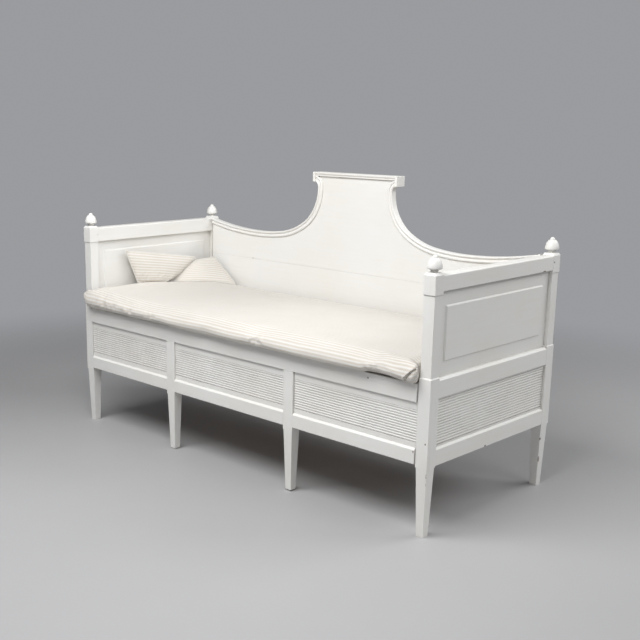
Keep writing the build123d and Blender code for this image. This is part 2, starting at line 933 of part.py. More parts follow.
def corner_pillow_plane(lift):
    """The sloping face of the corner pillow, raised by lift, where the end pillow lies on it."""
    edge = pillow_bottom() + corner_pillow_edge
    near = Vector(pillow_wall() + end_pillow_thickness, board_face - corner_pillow_length, edge)
    far = Vector(pillow_wall() + corner_pillow_reach, pillow_back() - corner_pillow_end, edge)
    top = Vector(pillow_wall() + corner_pillow_top, pillow_back(), pillow_bottom() + corner_pillow_height)
    normal = (far - near).cross(top - near).normalized()
    return Plane(origin=near + normal * lift, x_dir=(far - near), z_dir=normal)


def corner_pillow():
    """A pillow that leans into the corner of the left end and the back."""
    left, bottom = pillow_wall(), pillow_bottom()
    front = board_face - corner_pillow_length
    outline = [
        (left, front, bottom),
        (left + end_pillow_thickness, front, bottom),
        (left + corner_pillow_reach, pillow_back() - corner_pillow_end, bottom),
        (left + corner_pillow_reach, pillow_back(), bottom),
        (left, pillow_back(), bottom),
    ]
    block = prism(outline, (0, 0, corner_pillow_height))
    return split(block, bisect_by=corner_pillow_plane(0), keep=Keep.BOTTOM)


def end_pillow():
    """A pillow on edge against the left end, with its back half on the corner pillow."""
    left, bottom = pillow_wall(), pillow_bottom()
    back = board_face - end_pillow_back
    front = back - end_pillow_length
    outline = [
        (left, front, bottom),
        (left + end_pillow_thickness, front, bottom),
        (left + end_pillow_thickness, front, bottom + end_pillow_upright),
        (left + end_pillow_top_thickness, front, bottom + end_pillow_height),
        (left, front, bottom + end_pillow_height),
    ]
    pillow = prism(outline, (0, end_pillow_length, 0))
    corner_room = brick(
        (left, left + corner_pillow_reach),
        (board_face - corner_pillow_length - soft_gap, board_face),
        (bottom, bottom + end_pillow_height),
    )
    return pillow - split(corner_room, bisect_by=corner_pillow_plane(soft_gap), keep=Keep.BOTTOM)


# ---- write every piece
os.makedirs("parts", exist_ok=True)

for side in (-1, 1):
    x = side * half_span_x
    for place, y in (("front", front_axis), ("back", back_axis)):
        save(f"post_{place}_{end_name(side)}", corner_post(side, y, place == "back"))
        save(f"finial_{place}_{end_name(side)}", finial(x, y))
    save(f"end_top_rail_{end_name(side)}", end_top_rail(side))
    save(f"end_seat_rail_{end_name(side)}", end_seat_rail(side))
    save(f"end_bottom_rail_{end_name(side)}", end_bottom_rail(side))
    save(f"end_field_panel_{end_name(side)}", end_field_panel(side))
    save(f"end_reeded_panel_{end_name(side)}", end_reeded_panel(side))
    save(f"back_moulding_{end_name(side)}", back_moulding(side))
    save(f"end_cleat_{end_name(side)}", end_cleat(side))
    save(f"side_bearer_{end_name(side)}", side_bearer(side))
    save(f"beam_stop_{end_name(side)}", beam_stop(side))
    save(f"runner_{end_name(side)}", runner(side))
    save(f"runner_stop_{end_name(side)}", runner_stop(side))

fixed_row = fixed_slat_screw_row()
pull_rows = pull_out_slat_screw_rows()
fixed_top = fixed_slat_bottom + slat_thickness
pull_top = seat_height + slat_thickness

save("frame_pegs", Compound(end_pegs(peg_diameter / 2) + back_pegs(peg_diameter / 2)))
save("back_upper_board", back_upper_board())
save("back_lower_board", back_lower_board())
save("back_cap", back_cap())
seat_heights, bottom_heights = back_rail_heights()
save("back_seat_rail", back_rail(*seat_heights))
save("back_bottom_rail", back_rail(*bottom_heights))
save("back_lower_panel", lower_panel_plate())
save("slat_ledger", slat_ledger() - screw_pockets(slat_places(1), fixed_row, fixed_top))
save("fixed_slats", fixed_slats())
save("fixed_slat_screws", screws(slat_places(1), fixed_row, fixed_top))

save("front_top_rail", front_top_rail())
save("front_slat_batten", front_slat_batten() - screw_pockets(slat_places(0), pull_rows[:1], pull_top))
for name, x in mid_legs():
    save(f"mid_leg_{name}", mid_leg(x))
for name, x0, x1, left, right in front_bays():
    save(f"front_bottom_rail_{name}", front_bottom_rail(x0, x1, left, right))
    save(f"front_reeded_panel_{name}", front_reeded_panel(x0, x1, left, right))
save("rear_beam", rear_beam() - screw_pockets(slat_places(0), pull_rows[1:], pull_top))
save("pull_out_slats", pull_out_slats())
save("pull_out_slat_screws", screws(slat_places(0), pull_rows, pull_top))

save("mattress", mattress())
save("corner_pillow", corner_pillow())
save("end_pillow", end_pillow())
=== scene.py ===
import math

import bmesh
import bpy
import numpy as np
from mathutils import Matrix, Vector, noise
from mathutils.bvhtree import BVHTree


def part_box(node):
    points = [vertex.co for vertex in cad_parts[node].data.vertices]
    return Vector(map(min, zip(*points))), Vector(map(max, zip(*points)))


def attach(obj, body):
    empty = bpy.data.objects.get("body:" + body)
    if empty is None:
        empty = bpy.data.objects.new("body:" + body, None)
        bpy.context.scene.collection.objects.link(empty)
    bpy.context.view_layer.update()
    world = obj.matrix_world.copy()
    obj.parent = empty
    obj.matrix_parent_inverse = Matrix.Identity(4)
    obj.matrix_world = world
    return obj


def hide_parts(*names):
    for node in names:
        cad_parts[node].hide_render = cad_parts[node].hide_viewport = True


bl_info = {
    "name": "Pull-out Bench Bed",
    "version": (1, 0, 0),
    "blender": (4, 5, 0),
    "location": "View3D > Sidebar > Bench Bed",
    "description": "Dresses an old painted bench bed with paint, bare wood, a mattress and two pillows",
    "category": "Object",
}

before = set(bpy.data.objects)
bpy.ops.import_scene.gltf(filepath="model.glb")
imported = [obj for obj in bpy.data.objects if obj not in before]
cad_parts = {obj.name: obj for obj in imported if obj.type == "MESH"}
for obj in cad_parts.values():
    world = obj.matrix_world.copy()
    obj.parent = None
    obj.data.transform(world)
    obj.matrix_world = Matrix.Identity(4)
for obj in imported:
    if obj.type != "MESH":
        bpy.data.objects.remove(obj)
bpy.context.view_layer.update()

# ---- where the frame's own pieces are
MATTRESS_LOW, MATTRESS_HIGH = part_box("mattress")
POST_LOW, POST_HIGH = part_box("post_front_right")
MOULDING_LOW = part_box("back_moulding_right")[0]
FRONT_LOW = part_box("front_top_rail")[0]
END_RAIL_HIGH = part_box("end_top_rail_left")[1]
FRONT_AXIS = (POST_LOW.y + POST_HIGH.y) / 2
INNER_FACE = POST_LOW.x


def from_front_axis(place):
    """A place whose y counts from the front posts' axis, in the frame."""
    return Vector((place[0], place[1] + FRONT_AXIS, place[2]))


# ---- nodes by finish, and the way their grain runs
ALONG_X = ("back_upper_board", "back_lower_board", "back_cap", "back_seat_rail", "back_bottom_rail",
           "back_lower_panel", "back_moulding", "front_top_rail", "front_bottom_rail")
ALONG_Y = ("end_top_rail", "end_seat_rail", "end_bottom_rail", "end_field_panel")
ALONG_Z = ("post", "mid_leg", "finial", "frame_pegs")
LYING_ALONG_X = ("slat_ledger", "rear_beam", "front_slat_batten")
LYING_ALONG_Y = ("fixed_slats", "pull_out_slats", "side_bearer", "runner_left", "runner_right")
STANDING = ("end_cleat", "beam_stop", "runner_stop")
STEEL = ("fixed_slat_screws", "pull_out_slat_screws")
# How much finer the marks are along X, Y and Z; the low number is along the grain
PAINT_ALONG_X, PAINT_ALONG_Y, PAINT_ALONG_Z = (5.0, 70.0, 70.0), (70.0, 5.0, 70.0), (70.0, 70.0, 5.0)
PINE_ALONG_X, PINE_ALONG_Y, PINE_ALONG_Z = (1.6, 30.0, 30.0), (30.0, 1.6, 30.0), (30.0, 30.0, 1.6)
FINE_ROUNDING = 0.0003  # of the reeded and the fielded panels
# Painted shade in the grooves between the reeds, with some dust: a short reach and full strength darken the
# valleys and leave the crests
REED_DUST_AND_SHADE = {"dust_and_shade_reach": 0.0035, "dust_and_shade_strength": 1.0}

# Places where the paint has gone, in metres from the front posts' axis, with their sizes along X, Y and Z
PAINT_CHIPS = {
    "right front leg, high": ((0.9170, -0.022, 0.214), (0.003, 0.003, 0.011)),
    "right front leg, low": ((0.9160, -0.021, 0.186), (0.0025, 0.0025, 0.009)),
    "right back leg, high": ((0.9170, 0.690, 0.184), (0.004, 0.006, 0.006)),
    "right back leg, low": ((0.9140, 0.693, 0.104), (0.004, 0.004, 0.014)),
    "right back block": ((0.9200, 0.690, 0.838), (0.003, 0.004, 0.003)),
    "right top rail": ((0.9190, 0.628, 0.812), (0.003, 0.010, 0.003)),
    "right bottom rail": ((0.9195, 0.312, 0.2440), (0.003, 0.006, 0.004)),
    "front top rail": ((0.6747, -0.0288, 0.4975), (0.004, 0.003, 0.003)),
    "right front rail": ((0.8680, -0.0288, 0.289), (0.003, 0.003, 0.004)),
    "right front post": ((0.9100, -0.0230, 0.322), (0.003, 0.002, 0.004)),
    "edge of the hump": ((0.2440, 0.6800, 0.950), (0.008, 0.006, 0.014)),
    "back board": ((-0.5943, 0.6870, 0.6990), (0.003, 0.003, 0.002)),
}


# ---------------------------------------------------------------- sizes and colours a user may change
def length_setting(name, description, default):
    """A length that a user may change."""
    return bpy.props.FloatProperty(name=name, description=description, default=default, unit="LENGTH")


def colour_setting(name, description, default):
    """A colour that a user may change."""
    return bpy.props.FloatVectorProperty(name=name, description=description, default=default, subtype="COLOR")


def power_setting(name, description, default):
    """A light's power that a user may change."""
    return bpy.props.FloatProperty(name=name, description=description, default=default, subtype="POWER")


class BenchSizes(bpy.types.PropertyGroup):
    """Sizes of the finish and of the soft goods."""

    edge_rounding: length_setting("Edge rounding", "Width of the worn and painted-over arrises", 0.0013)
    stripe_pitch: length_setting("Stripe pitch", "From one stripe of the ticking to the next", 0.0138)
    mattress_cell: length_setting("Mattress cell", "Cell of the mattress's cloth", 0.0085)
    mattress_crown: length_setting("Mattress crown", "Rise of its top in the middle", 0.004)
    pillow_thickness: length_setting("Pillow thickness", "Thickness of the pillows in the middle", 0.052)
    seam_radius: length_setting("Seam radius", "Radius of the sewn edge of the covers", 0.0016)


class BenchColours(bpy.types.PropertyGroup):
    """Colours of the finishes."""

    paint: colour_setting("Paint", "Old off-white oil paint", (0.81, 0.805, 0.785))
    aged_paint: colour_setting("Aged paint", "Where the paint has yellowed", (0.79, 0.775, 0.735))
    # Colour of the dust in corners, which also serves as the painted shade there
    grime: colour_setting("Grime", "Dirt in the corners", (0.33, 0.29, 0.23))
    chip: colour_setting("Chip", "Wood that shows where the paint is gone", (0.22, 0.17, 0.13))
    pine: colour_setting("Pine", "Bare old pine", (0.50, 0.33, 0.18))
    pine_grain: colour_setting("Pine grain", "Dark lines in the pine", (0.27, 0.15, 0.07))
    cream: colour_setting("Cream cotton", "Ground of the ticking", (0.735, 0.72, 0.69))
    stripe: colour_setting("Stripe", "Stripes of the ticking", (0.53, 0.465, 0.38))
    soil: colour_setting("Soil", "Where the cotton has darkened", (0.58, 0.54, 0.48))
    steel: colour_setting("Steel", "Old wood screws", (0.30, 0.28, 0.26))


class BenchStage(bpy.types.PropertyGroup):
    """Floor, light and camera."""

    floor: colour_setting("Floor", "Plain pale floor", (0.45, 0.45, 0.455))
    backdrop: colour_setting("Backdrop", "Plain grey all round", (0.325, 0.33, 0.345))
    room_light: bpy.props.FloatProperty(
        name="Room light", description="Share of the backdrop's light that reaches the bench", default=0.33
    )
    overhead_watts: power_setting("Overhead", "Power of the light above the front", 98)
    behind_watts: power_setting("Behind", "Power of the light behind the right end", 70)
    right_watts: power_setting("Right", "Power of the light to the right", 32)
    before_watts: power_setting("Before", "Power of the light before the right corner", 17)


# ---------------------------------------------------------------- shader helpers
def set_all(thing, settings):
    """Gives a thing several properties by name."""
    for name, value in settings.items():
        setattr(thing, name, value)


MIX_COLOUR_INPUTS = (0, 6, 7)  # factor and the two colours; the node's other sockets are for other kinds
MIX_COLOUR_OUTPUT = 2


def put(tree, kind, inputs=None, **settings):
    """Adds a node. An input is a plain value, or the output of another node."""
    made = tree.nodes.new(kind)
    set_all(made, settings)
    for name, value in (inputs or {}).items():
        if isinstance(value, bpy.types.NodeSocket):
            tree.links.new(value, made.inputs[name])
        else:
            made.inputs[name].default_value = value
    return made


def calc(tree, operation, first, second=0.0, clamp=False):
    """One step of arithmetic on values that vary over the surface."""
    return put(tree, "ShaderNodeMath", {0: first, 1: second}, operation=operation, use_clamp=clamp).outputs[0]


def ramp(tree, value, low, high, low_out=0.0, high_out=1.0):
    """A smooth step from low_out to high_out as the value goes from low to high."""
    inputs = {"Value": value, "From Min": low, "From Max": high, "To Min": low_out, "To Max": high_out}
    return put(tree, "ShaderNodeMapRange", inputs, interpolation_type="SMOOTHSTEP").outputs[0]


def blend_colour(tree, factor, first, second):
    """Goes from the first colour to the second as the factor goes from 0 to 1."""
    inputs = dict(zip(MIX_COLOUR_INPUTS, (factor, first, second)))
    made = put(tree, "ShaderNodeMix", inputs, data_type="RGBA", clamp_factor=True)
    return made.outputs[MIX_COLOUR_OUTPUT]


def opaque(rgb):
    """A colour with full alpha."""
    return (*rgb, 1.0)


def cloud(tree, vector, scale, detail=2.0, roughness=0.5):
    """Soft noise."""
    inputs = {"Vector": vector, "Scale": scale, "Detail": detail, "Roughness": roughness}
    return put(tree, "ShaderNodeTexNoise", inputs).outputs["Fac"]


def stretched(tree, vector, scale):
    """The vector with its own scale along each axis, so that noise runs with the grain."""
    return put(tree, "ShaderNodeMapping", {"Vector": vector, "Scale": scale}).outputs[0]


def own_place(tree):
    """Where a point lies on its piece; the pieces' origins are the frame's."""
    return put(tree, "ShaderNodeTexCoord").outputs["Object"]


def group(name, inputs, outputs):
    """A new shader node group with named sockets, given as (name, kind, default) and (name, kind)."""
    tree = bpy.data.node_groups.new(name, "ShaderNodeTree")
    for label, kind, default in inputs:
        socket = tree.interface.new_socket(label, in_out="INPUT", socket_type=f"NodeSocket{kind}")
        if default is not None:
            socket.default_value = default
    for label, kind in outputs:
        tree.interface.new_socket(label, in_out="OUTPUT", socket_type=f"NodeSocket{kind}")
    return tree, put(tree, "NodeGroupInput").outputs, put(tree, "NodeGroupOutput")


def place_group(tree, build, inputs):
    """Places a node group in a material, and builds it the first time. Gives its outputs."""
    made = bpy.data.node_groups.get(build.__name__) or build(build.__name__)
    return put(tree, "ShaderNodeGroup", inputs, node_tree=made).outputs


# ---------------------------------------------------------------- effects that several materials share
HIDDEN_SAMPLES = 6  # rays that tell how hidden a place is


def brushed_coat(name):
    """Brush marks along the grain and the slight waves of a thick coat."""
    tree, source, target = group(
        name,
        [("Vector", "Vector", None), ("Along Grain", "Vector", None)],
        [("Height", "Float"), ("Tone", "Float")],
    )
    marks = cloud(tree, source["Along Grain"], 1.0, 3.0, 0.6)
    waves = cloud(tree, source["Vector"], 22.0, 2.0, 0.5)
    height = calc(tree, "ADD", calc(tree, "MULTIPLY", marks, 0.55), calc(tree, "MULTIPLY", waves, 0.45))
    blotches = cloud(tree, source["Vector"], 3.2, 3.0, 0.6)
    tone = calc(tree, "ADD", calc(tree, "MULTIPLY", marks, 0.35), calc(tree, "MULTIPLY", blotches, 0.65))
    tree.links.new(height, target.inputs["Height"])
    tree.links.new(ramp(tree, tone, 0.35, 0.68), target.inputs["Tone"])
    return tree


def worn_edge(name):
    """Where an outer arris has been rubbed, broken up by noise."""
    tree, source, target = group(
        name,
        [("Vector", "Vector", None), ("Reach", "Float", 0.004), ("Amount", "Float", 0.5)],
        [("Mask", "Float")],
    )
    settings = {"inside": True, "only_local": True, "samples": HIDDEN_SAMPLES}
    inward = put(tree, "ShaderNodeAmbientOcclusion", {"Distance": source["Reach"]}, **settings)
    edge = calc(tree, "SUBTRACT", 1.0, inward.outputs["AO"])
    patches = cloud(tree, source["Vector"], 30.0, 5.0, 0.65)
    worn = calc(tree, "ADD", calc(tree, "MULTIPLY", edge, 1.1), calc(tree, "SUBTRACT", patches, 1.0))
    limit = calc(tree, "SUBTRACT", 0.42, calc(tree, "MULTIPLY", source["Amount"], 0.4))
    mask = calc(tree, "MULTIPLY", calc(tree, "SUBTRACT", worn, limit), 14.0, clamp=True)
    tree.links.new(mask, target.inputs["Mask"])
    return tree


def corner_grime(name):
    """Old dust, and painted shade, where pieces meet: darker wherever nearby surfaces hide a place from the
    light.
    """
    tree, source, target = group(
        name, [("Vector", "Vector", None), ("Reach", "Float", 0.015)], [("Mask", "Float")]
    )
    outward = put(tree, "ShaderNodeAmbientOcclusion", {"Distance": source["Reach"]}, samples=HIDDEN_SAMPLES)
    closed = ramp(tree, outward.outputs["AO"], 0.35, 0.95, 1.0, 0.0)
    patches = ramp(tree, cloud(tree, source["Vector"], 14.0, 4.0, 0.6), 0.3, 0.75, 0.35, 1.0)
    tree.links.new(calc(tree, "MULTIPLY", closed, patches), target.inputs["Mask"])
    return tree


def paint_chips(name):
    """Named places where the paint has come off, with ragged rims."""
    tree, source, target = group(name, [("Vector", "Vector", None)], [("Mask", "Float")])
    ragged = put(tree, "ShaderNodeTexNoise", {"Vector": source["Vector"], "Scale": 420.0, "Detail": 3.0})
    rim = calc(tree, "MULTIPLY", calc(tree, "SUBTRACT", ragged.outputs["Fac"], 0.5), 1.7)
    nearest = None
    for place, size in PAINT_CHIPS.values():
        apart = {0: source["Vector"], 1: from_front_axis(place)}
        moved = put(tree, "ShaderNodeVectorMath", apart, operation="SUBTRACT")
        scaled = put(tree, "ShaderNodeVectorMath", {0: moved.outputs[0], 1: size}, operation="DIVIDE")
        away = put(tree, "ShaderNodeVectorMath", {0: scaled.outputs[0]}, operation="LENGTH").outputs["Value"]
        nearest = away if nearest is None else calc(tree, "MINIMUM", nearest, away)
    mask = ramp(tree, calc(tree, "ADD", nearest, rim), 0.75, 1.0, 1.0, 0.0)
    tree.links.new(mask, target.inputs["Mask"])
    return tree


def pine_grain(name):
    """Growth rings of sawn pine; the vector is long along the grain."""
    tree, source, target = group(
        name, [("Vector", "Vector", None)], [("Lines", "Float"), ("Height", "Float")]
    )
    inputs = {"Vector": source["Vector"], "Scale": 1.0, "Distortion": 5.0, "Detail": 2.5, "Detail Scale": 0.8}
    rings = put(tree, "ShaderNodeTexWave", inputs, bands_direction="DIAGONAL").outputs["Fac"]
    fibres = cloud(tree, source["Vector"], 9.0, 4.0, 0.7)
    lines = calc(tree, "ADD", calc(tree, "MULTIPLY", rings, 0.7), calc(tree, "MULTIPLY", fibres, 0.5))
    tree.links.new(ramp(tree, lines, 0.35, 1.05), target.inputs["Lines"])
    tree.links.new(fibres, target.inputs["Height"])
    return tree


def ticking_weave(name):
    """Stripes with a fine line on each side, and the twill of the cotton."""
    tree, source, target = group(
        name,
        [("Across", "Float", 0.0), ("Along", "Float", 0.0), ("Pitch", "Float", 0.0138)],
        [("Stripe", "Float"), ("Thread", "Float")],
    )
    place = put(tree, "ShaderNodeCombineXYZ", {"X": source["Along"], "Y": source["Across"]}).outputs[0]
    wander = calc(tree, "MULTIPLY", calc(tree, "SUBTRACT", cloud(tree, place, 16.0), 0.5), 0.0016)
    turn = calc(tree, "DIVIDE", calc(tree, "ADD", source["Across"], wander), source["Pitch"])
    phase = calc(tree, "ABSOLUTE", calc(tree, "SUBTRACT", calc(tree, "FRACT", turn), 0.5))
    band = ramp(tree, phase, 0.16, 0.21, 1.0, 0.0)
    inner = ramp(tree, phase, 0.05, 0.09, 0.35, 0.0)
    line = ramp(tree, calc(tree, "ABSOLUTE", calc(tree, "SUBTRACT", phase, 0.31)), 0.022, 0.05, 0.75, 0.0)
    wide = calc(tree, "SUBTRACT", calc(tree, "MULTIPLY", band, 0.95), inner)
    stripe = calc(tree, "ADD", wide, line, clamp=True)
    faded = ramp(tree, cloud(tree, place, 9.0, 3.0, 0.6), 0.25, 0.75, 0.75, 1.0)
    tree.links.new(calc(tree, "MULTIPLY", stripe, faded), target.inputs["Stripe"])
    threads = stretched(tree, place, (1500.0, 1500.0, 1.0))
    warp = put(tree, "ShaderNodeTexWave", {"Vector": threads, "Scale": 0.35}, bands_direction="DIAGONAL")
    tree.links.new(warp.outputs["Fac"], target.inputs["Thread"])
    return tree


# ---------------------------------------------------------------- finishes
def finish_material(name):
    """A new material with one surface shader; gives the material, its tree and the shader."""
    material = bpy.data.materials.new(name)
    material.use_nodes = True
    tree = material.node_tree
    tree.nodes.clear()
    surface = put(tree, "ShaderNodeBsdfPrincipled")
    put(tree, "ShaderNodeOutputMaterial", {"Surface": surface.outputs[0]})
    return material, tree, surface


def raise_surface(tree, surface, height, strength, distance):
    """Lets fine relief catch the light."""
    bump = put(tree, "ShaderNodeBump", {"Height": height, "Strength": strength, "Distance": distance})
    tree.links.new(bump.outputs[0], surface.inputs["Normal"])


def old_paint(name, grain, dust_and_shade_reach=0.012, dust_and_shade_strength=0.38):
    """Thick off-white oil paint with brush marks along the grain, dust and painted shade in corners and a few
    chips.
    """
    colours = bpy.context.scene.bench_colours
    material, tree, surface = finish_material(name)
    place = own_place(tree)
    coat = place_group(tree, brushed_coat, {"Vector": place, "Along Grain": stretched(tree, place, grain)})
    worn = place_group(tree, worn_edge, {"Vector": place, "Reach": 0.0018, "Amount": 0.18})["Mask"]
    # Dust and painted shade: darker where nearby pieces hide a place, standing in for the shade that falls
    # there
    grime = place_group(tree, corner_grime, {"Vector": place, "Reach": dust_and_shade_reach})["Mask"]
    chips = place_group(tree, paint_chips, {"Vector": place})["Mask"]
    bare = calc(tree, "MAXIMUM", calc(tree, "MULTIPLY", worn, 0.55), chips)
    painted = blend_colour(tree, coat["Tone"], opaque(colours.paint), opaque(colours.aged_paint))
    dusty_and_shaded = blend_colour(tree, calc(tree, "MULTIPLY", grime, dust_and_shade_strength), painted, opaque(colours.grime))
    tree.links.new(blend_colour(tree, bare, dusty_and_shaded, opaque(colours.chip)), surface.inputs["Base Color"])
    tree.links.new(ramp(tree, coat["Height"], 0.2, 0.8, 0.36, 0.52), surface.inputs["Roughness"])
    height = calc(tree, "SUBTRACT", coat["Height"], calc(tree, "MULTIPLY", bare, 0.6))
    raise_surface(tree, surface, height, 0.32, 0.0012)
    return material


def bare_pine(name, grain):
    """Old sawn pine with growth rings along the grain."""
    colours = bpy.context.scene.bench_colours
    material, tree, surface = finish_material(name)
    place = own_place(tree)
    wood = place_group(tree, pine_grain, {"Vector": stretched(tree, place, grain)})
    # Dust and painted shade in the corners, darker where nearby pieces hide the wood
    grime = place_group(tree, corner_grime, {"Vector": place, "Reach": 0.02})["Mask"]
    sawn = blend_colour(tree, wood["Lines"], opaque(colours.pine), opaque(colours.pine_grain))
    dusty_and_shaded = blend_colour(tree, calc(tree, "MULTIPLY", grime, 0.5), sawn, opaque(colours.grime))
    tree.links.new(dusty_and_shaded, surface.inputs["Base Color"])
    tree.links.new(ramp(tree, wood["Lines"], 0.0, 1.0, 0.6, 0.74), surface.inputs["Roughness"])
    raise_surface(tree, surface, wood["Height"], 0.25, 0.0006)
    return material


def dull_steel(name):
    """Old screws with specks of rust."""
    colours = bpy.context.scene.bench_colours
    material, tree, surface = finish_material(name)
    surface.inputs["Metallic"].default_value = 1.0
    spots = cloud(tree, own_place(tree), 350.0, 3.0, 0.6)
    rust = blend_colour(tree, ramp(tree, spots, 0.55, 0.7), opaque(colours.steel), opaque(colours.chip))
    tree.links.new(rust, surface.inputs["Base Color"])
    tree.links.new(ramp(tree, spots, 0.3, 0.7, 0.38, 0.62), surface.inputs["Roughness"])
    return material


def ticking(name, strength):
    """Striped cotton; the stripes follow the cloth's own measures, stored on its points."""
    colours = bpy.context.scene.bench_colours
    sizes = bpy.context.scene.bench_sizes
    material, tree, surface = finish_material(name)
    across = put(tree, "ShaderNodeAttribute", attribute_name="cloth_across").outputs["Fac"]
    along = put(tree, "ShaderNodeAttribute", attribute_name="cloth_along").outputs["Fac"]
    weave = place_group(
        tree, ticking_weave, {"Across": across, "Along": along, "Pitch": sizes.stripe_pitch}
    )
    place = own_place(tree)
    stripe = calc(tree, "MULTIPLY", weave["Stripe"], strength)
    cotton = blend_colour(tree, stripe, opaque(colours.cream), opaque(colours.stripe))
    soiled = ramp(tree, cloud(tree, place, 5.0, 4.0, 0.65), 0.45, 0.8, 0.0, 0.22)
    tree.links.new(blend_colour(tree, soiled, cotton, opaque(colours.soil)), surface.inputs["Base Color"])
    tree.links.new(ramp(tree, weave["Thread"], 0.0, 1.0, 0.82, 0.95), surface.inputs["Roughness"])
    surface.inputs["Specular IOR Level"].default_value = 0.25
    surface.inputs["Sheen Weight"].default_value = 0.18
    surface.inputs["Sheen Roughness"].default_value = 0.5
    crumple = cloud(tree, place, 55.0, 3.0, 0.55)
    height = calc(tree, "ADD", calc(tree, "MULTIPLY", weave["Thread"], 0.12), crumple)
    raise_surface(tree, surface, height, 0.35, 0.0011)
    return material


# ---------------------------------------------------------------- mesh helpers
def nodes_named(starts):
    """The frame's nodes whose names begin with one of the words."""
    return [node for name, node in sorted(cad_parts.items()) if name.startswith(starts)]


def coat(node, material):
    """Gives a piece one material."""
    node.data.materials.clear()
    node.data.materials.append(material)


WELD_REACH = 0.00002
FLAT_ANGLE = math.radians(0.4)  # faces that turn less than this become one
ARRIS_ANGLE = math.radians(32)  # edges sharper than this are rounded


def modify(piece, name, kind, **settings):
    """Adds a modifier to a piece."""
    made = piece.modifiers.new(name, kind)
    set_all(made, settings)
    return made


def shade_smooth(mesh):
    """Shades the faces as parts of one smooth surface."""
    for face in mesh.polygons:
        face.use_smooth = True


def soften(node, width):
    """Rounds a node's arrises as thick paint does, without touching its own mesh."""
    if "reeded" in node.name or "field_panel" in node.name:
        width = FINE_ROUNDING
    sharp = {"limit_method": "ANGLE", "angle_limit": ARRIS_ANGLE, "miter_outer": "MITER_ARC"}
    modify(node, "weld", "WELD", merge_threshold=WELD_REACH)
    modify(node, "flat faces", "DECIMATE", decimate_type="DISSOLVE", angle_limit=FLAT_ANGLE)
    modify(node, "arris", "BEVEL", width=width, segments=2, **sharp)
    modify(node, "shading", "WEIGHTED_NORMAL", keep_sharp=True)
    shade_smooth(node.data)


def points_of(mesh):
    """The mesh's points as rows of x, y and z."""
    values = np.empty(len(mesh.vertices) * 3, np.float32)
    mesh.vertices.foreach_get("co", values)
    return values.reshape(-1, 3)


def set_points(mesh, points):
    """Moves the mesh's points to new places."""
    mesh.vertices.foreach_set("co", np.asarray(points, np.float32).ravel())
    mesh.update()


def store(mesh, name, values):
    """Keeps a value on each point, for a material to read."""
    mesh.attributes.new(name, "FLOAT", "POINT").data.foreach_set("value", np.asarray(values, np.float32))


def add_object(name, data):
    """A new object in the scene."""
    made = bpy.data.objects.new(name, data)
    bpy.context.scene.collection.objects.link(made)
    return made


def new_piece(name, points, faces):
    """A new mesh piece in the scene."""
    mesh = bpy.data.meshes.new(name)
    mesh.from_pydata([tuple(p) for p in points], [], faces)
    mesh.update()
    return add_object(name, mesh)


def keep_modifiers(piece):
    """Makes what the modifiers give the piece's own mesh."""
    graph = bpy.context.evaluated_depsgraph_get()
    mesh = bpy.data.meshes.new_from_object(piece.evaluated_get(graph), depsgraph=graph)
    old = piece.data
    piece.modifiers.clear()
    piece.data = mesh
    mesh.name = piece.name
    bpy.data.meshes.remove(old)


def remesh(piece, cell, rounds):
    """Gives the piece even cells and rounds its corners."""
    modify(piece, "cells", "REMESH", mode="VOXEL", voxel_size=cell)
    modify(piece, "round", "SMOOTH", iterations=rounds, factor=0.5)
    keep_modifiers(piece)


# How the covers behave as cloth
COVER_CLOTH = {
    "quality": 5,
    "mass": 0.25,
    "tension_stiffness": 12.0,
    "compression_stiffness": 12.0,
    "shear_stiffness": 6.0,
    "bending_stiffness": 0.15,
    "use_pressure": True,
}
CLOTH_STEPS = 20
MATTRESS_PRESSURE = 4.0
PILLOW_PRESSURE = 3.0
MOST_SWELL = 0.008
TINY = 1e-9  # keeps a division from failing where nothing moved
RAY_WAY = (0.61, -0.52, 0.60)
RAY_STEP = 0.00001  # on from a face that a ray has met


def inflate(piece, pressure, held):
    """Fills the piece as a cloth cover. No point moves further than the most swell, and held ones stay."""
    scene = bpy.context.scene
    before = points_of(piece.data)
    cloth = modify(piece, "cover", "CLOTH")
    cover = cloth.settings
    set_all(cover, COVER_CLOTH)
    cover.uniform_pressure_force = pressure
    cover.effector_weights.gravity = 0.0
    pins = piece.vertex_groups.new(name="held")
    pins.add([int(i) for i in np.flatnonzero(held)], 1.0, "REPLACE")
    cover.vertex_group_mass = "held"
    cloth.point_cache.frame_start = 1
    cloth.point_cache.frame_end = CLOTH_STEPS
    for step in range(1, CLOTH_STEPS + 1):
        scene.frame_set(step)
    graph = bpy.context.evaluated_depsgraph_get()
    after = points_of(piece.evaluated_get(graph).data)
    piece.modifiers.remove(cloth)
    piece.vertex_groups.clear()
    scene.frame_set(1)
    move = after - before
    far = np.linalg.norm(move, axis=1, keepdims=True)
    set_points(piece.data, before + move * np.minimum(1.0, MOST_SWELL / np.maximum(far, TINY)))


def refine(piece):
    """Halves the cells and smooths the piece."""
    modify(piece, "fine", "SUBSURF", levels=1, render_levels=1)
    keep_modifiers(piece)
    shade_smooth(piece.data)


def is_inside(tree, place, direction):
    """Whether a place lies in a closed piece. A ray from there leaves it once more than it enters it."""
    crossings = 0
    start = place
    while True:
        hit = tree.ray_cast(start, direction)[0]
        if hit is None:
            return crossings % 2 == 1
        crossings += 1
        start = hit + direction * RAY_STEP


